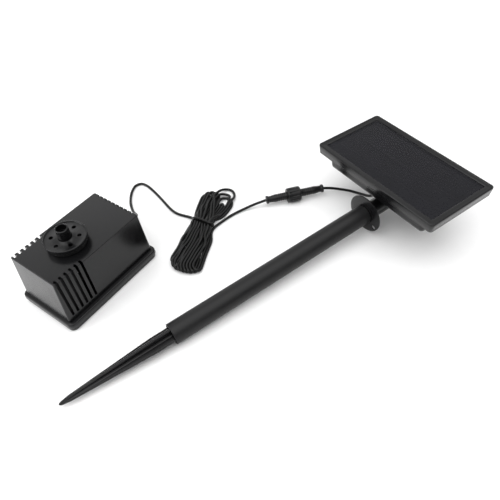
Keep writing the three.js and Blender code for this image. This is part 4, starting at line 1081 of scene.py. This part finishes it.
def make_nut():
    end = NUT_START + NUT_LENGTH
    rings = [nut_ring(x, r, d) for x, r, d in (
        (NUT_START, 5.5, 0), (NUT_START, 8.1, 0), (NUT_START + 0.25, 8.7, 0), (NUT_START + 0.9, 9.2, 0),
        (NUT_START + 1.5, NUT_R, 0), (NUT_START + 2.3, NUT_R, 0), (NUT_START + 3.0, NUT_R, 0.9),
        (end - 3.0, NUT_R, 0.9), (end - 2.3, NUT_R, 0), (end - 1.5, NUT_R, 0), (end - 0.9, 9.2, 0),
        (end - 0.25, 8.7, 0), (end, 8.1, 0), (end, 7.6, 0), (NUT_START + 1.8, 7.6, 0),
        (NUT_START + 1.8, 5.5, 0),
    )]
    piece("ring_nut", skin(rings, loop=True), LINK, "coupling_nut", "coupling_nut", "connector_plastic",
          edge=0.1, segments=2, angle=60)


make_link()
make_nut()
make_cords()

# ------------------------------------------------------------------ inner works
INNER = {
    "black_plastic": ["volute_body", "volute_cover", "motor_housing", "motor_back_plate"],
    "steel": ["volute_screw_1", "volute_screw_2", "volute_screw_3"],
    "can_steel": ["rotor_can"],
    "stator_steel": ["stator_core"],
    "copper_wire": [f"stator_coil_{i + 1}" for i in range(6)],
    "magnet": ["rotor_magnet"],
    "impeller_plastic": ["impeller"],
    "ceramic": ["rotor_shaft", "front_bush", "rear_bush"],
    "seal_rubber": ["rear_bush_seat", "connector_seal"],
    "foam": ["foam_filter"],
    "circuit_board": ["driver_board", "control_board"],
    "battery_wrap": ["battery_cell_1", "battery_cell_2"],
    "solar_cell": ["solar_cell_1", "solar_cell_2"],
    "backsheet": ["cell_backsheet"],
    "contact_brass": ["connector_pin_1", "connector_pin_2"],
}


def dress(node, look):
    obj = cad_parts[node]
    obj.data.materials.clear()
    obj.data.materials.append(LOOKS[look])
    weld = obj.modifiers.new("weld", "WELD")
    weld.merge_threshold = 0.00001
    bevel = obj.modifiers.new("bevel", "BEVEL")
    bevel.width = 0.0002
    bevel.segments = 2
    bevel.limit_method = "ANGLE"
    bevel.angle_limit = math.radians(40)
    obj.modifiers.new("normals", "WEIGHTED_NORMAL")
    for polygon in obj.data.polygons:
        polygon.use_smooth = True


for look, nodes in INNER.items():
    for node in nodes:
        dress(node, look)


# ------------------------------------------------------------------ floor and light
def make_floor():
    size = 4.0  # metres from the middle to an edge
    mesh = bpy.data.meshes.new("floor")
    corners = [(-size, -size, 0), (size, -size, 0), (size, size, 0), (-size, size, 0)]
    mesh.from_pydata(corners, [], [(0, 1, 2, 3)])
    floor = bpy.data.objects.new("floor", mesh)
    bpy.context.scene.collection.objects.link(floor)
    floor.data.materials.append(material("floor", (0.9, 0.9, 0.9), 0.8, mottle=0.01))


def area_light(name, place, aim, size, power):
    data = bpy.data.lights.new(name, "AREA")
    data.shape = "RECTANGLE"
    data.size, data.size_y = size
    data.energy = power
    light = bpy.data.objects.new(name, data)
    way = Vector(aim) - Vector(place)
    light.matrix_world = Matrix.Translation(place) @ way.to_track_quat("-Z", "Y").to_matrix().to_4x4()
    bpy.context.scene.collection.objects.link(light)


def make_sky():
    """white light, brightest high up and behind the object, and dimmer low down on the camera's side"""
    world = bpy.data.worlds.new("world")
    world.use_nodes = True
    tree = world.node_tree
    background = tree.nodes["Background"]
    coords = add_node(tree, "ShaderNodeTexCoord", (-900, 0))
    side = add_node(tree, "ShaderNodeVectorMath", (-700, 0))
    side.operation = "DOT_PRODUCT"
    side.inputs[1].default_value = (-0.15, 0.75, 0.65)
    tree.links.new(coords.outputs["Generated"], side.inputs[0])
    bright = add_node(tree, "ShaderNodeMapRange", (-450, 0))
    bright.interpolation_type = "SMOOTHSTEP"
    bright.inputs["From Min"].default_value = -0.5
    bright.inputs["From Max"].default_value = 0.75
    bright.inputs["To Min"].default_value = 0.3
    bright.inputs["To Max"].default_value = 0.78
    tree.links.new(side.outputs["Value"], bright.inputs["Value"])
    tree.links.new(bright.outputs["Result"], background.inputs["Strength"])
    background.inputs["Color"].default_value = (1, 1, 1, 1)
    bpy.context.scene.world = world


def make_light():
    """a large soft light overhead, one that brightens the pump's end face, and one behind"""
    middle = (0.15, -0.05, 0)
    area_light("overhead", (0.0, -0.5, 3.0), middle, (5.0, 4.0), 105)
    area_light("left", (-1.6, 0.4, 0.7), middle, (1.2, 1.0), 17)
    area_light("back_left", (0.35, 2.1, 1.3), middle, (1.5, 1.2), 4)
    bpy.context.scene.view_settings.view_transform = "Standard"


make_sky()
make_floor()
make_light()

bpy.context.view_layer.update()
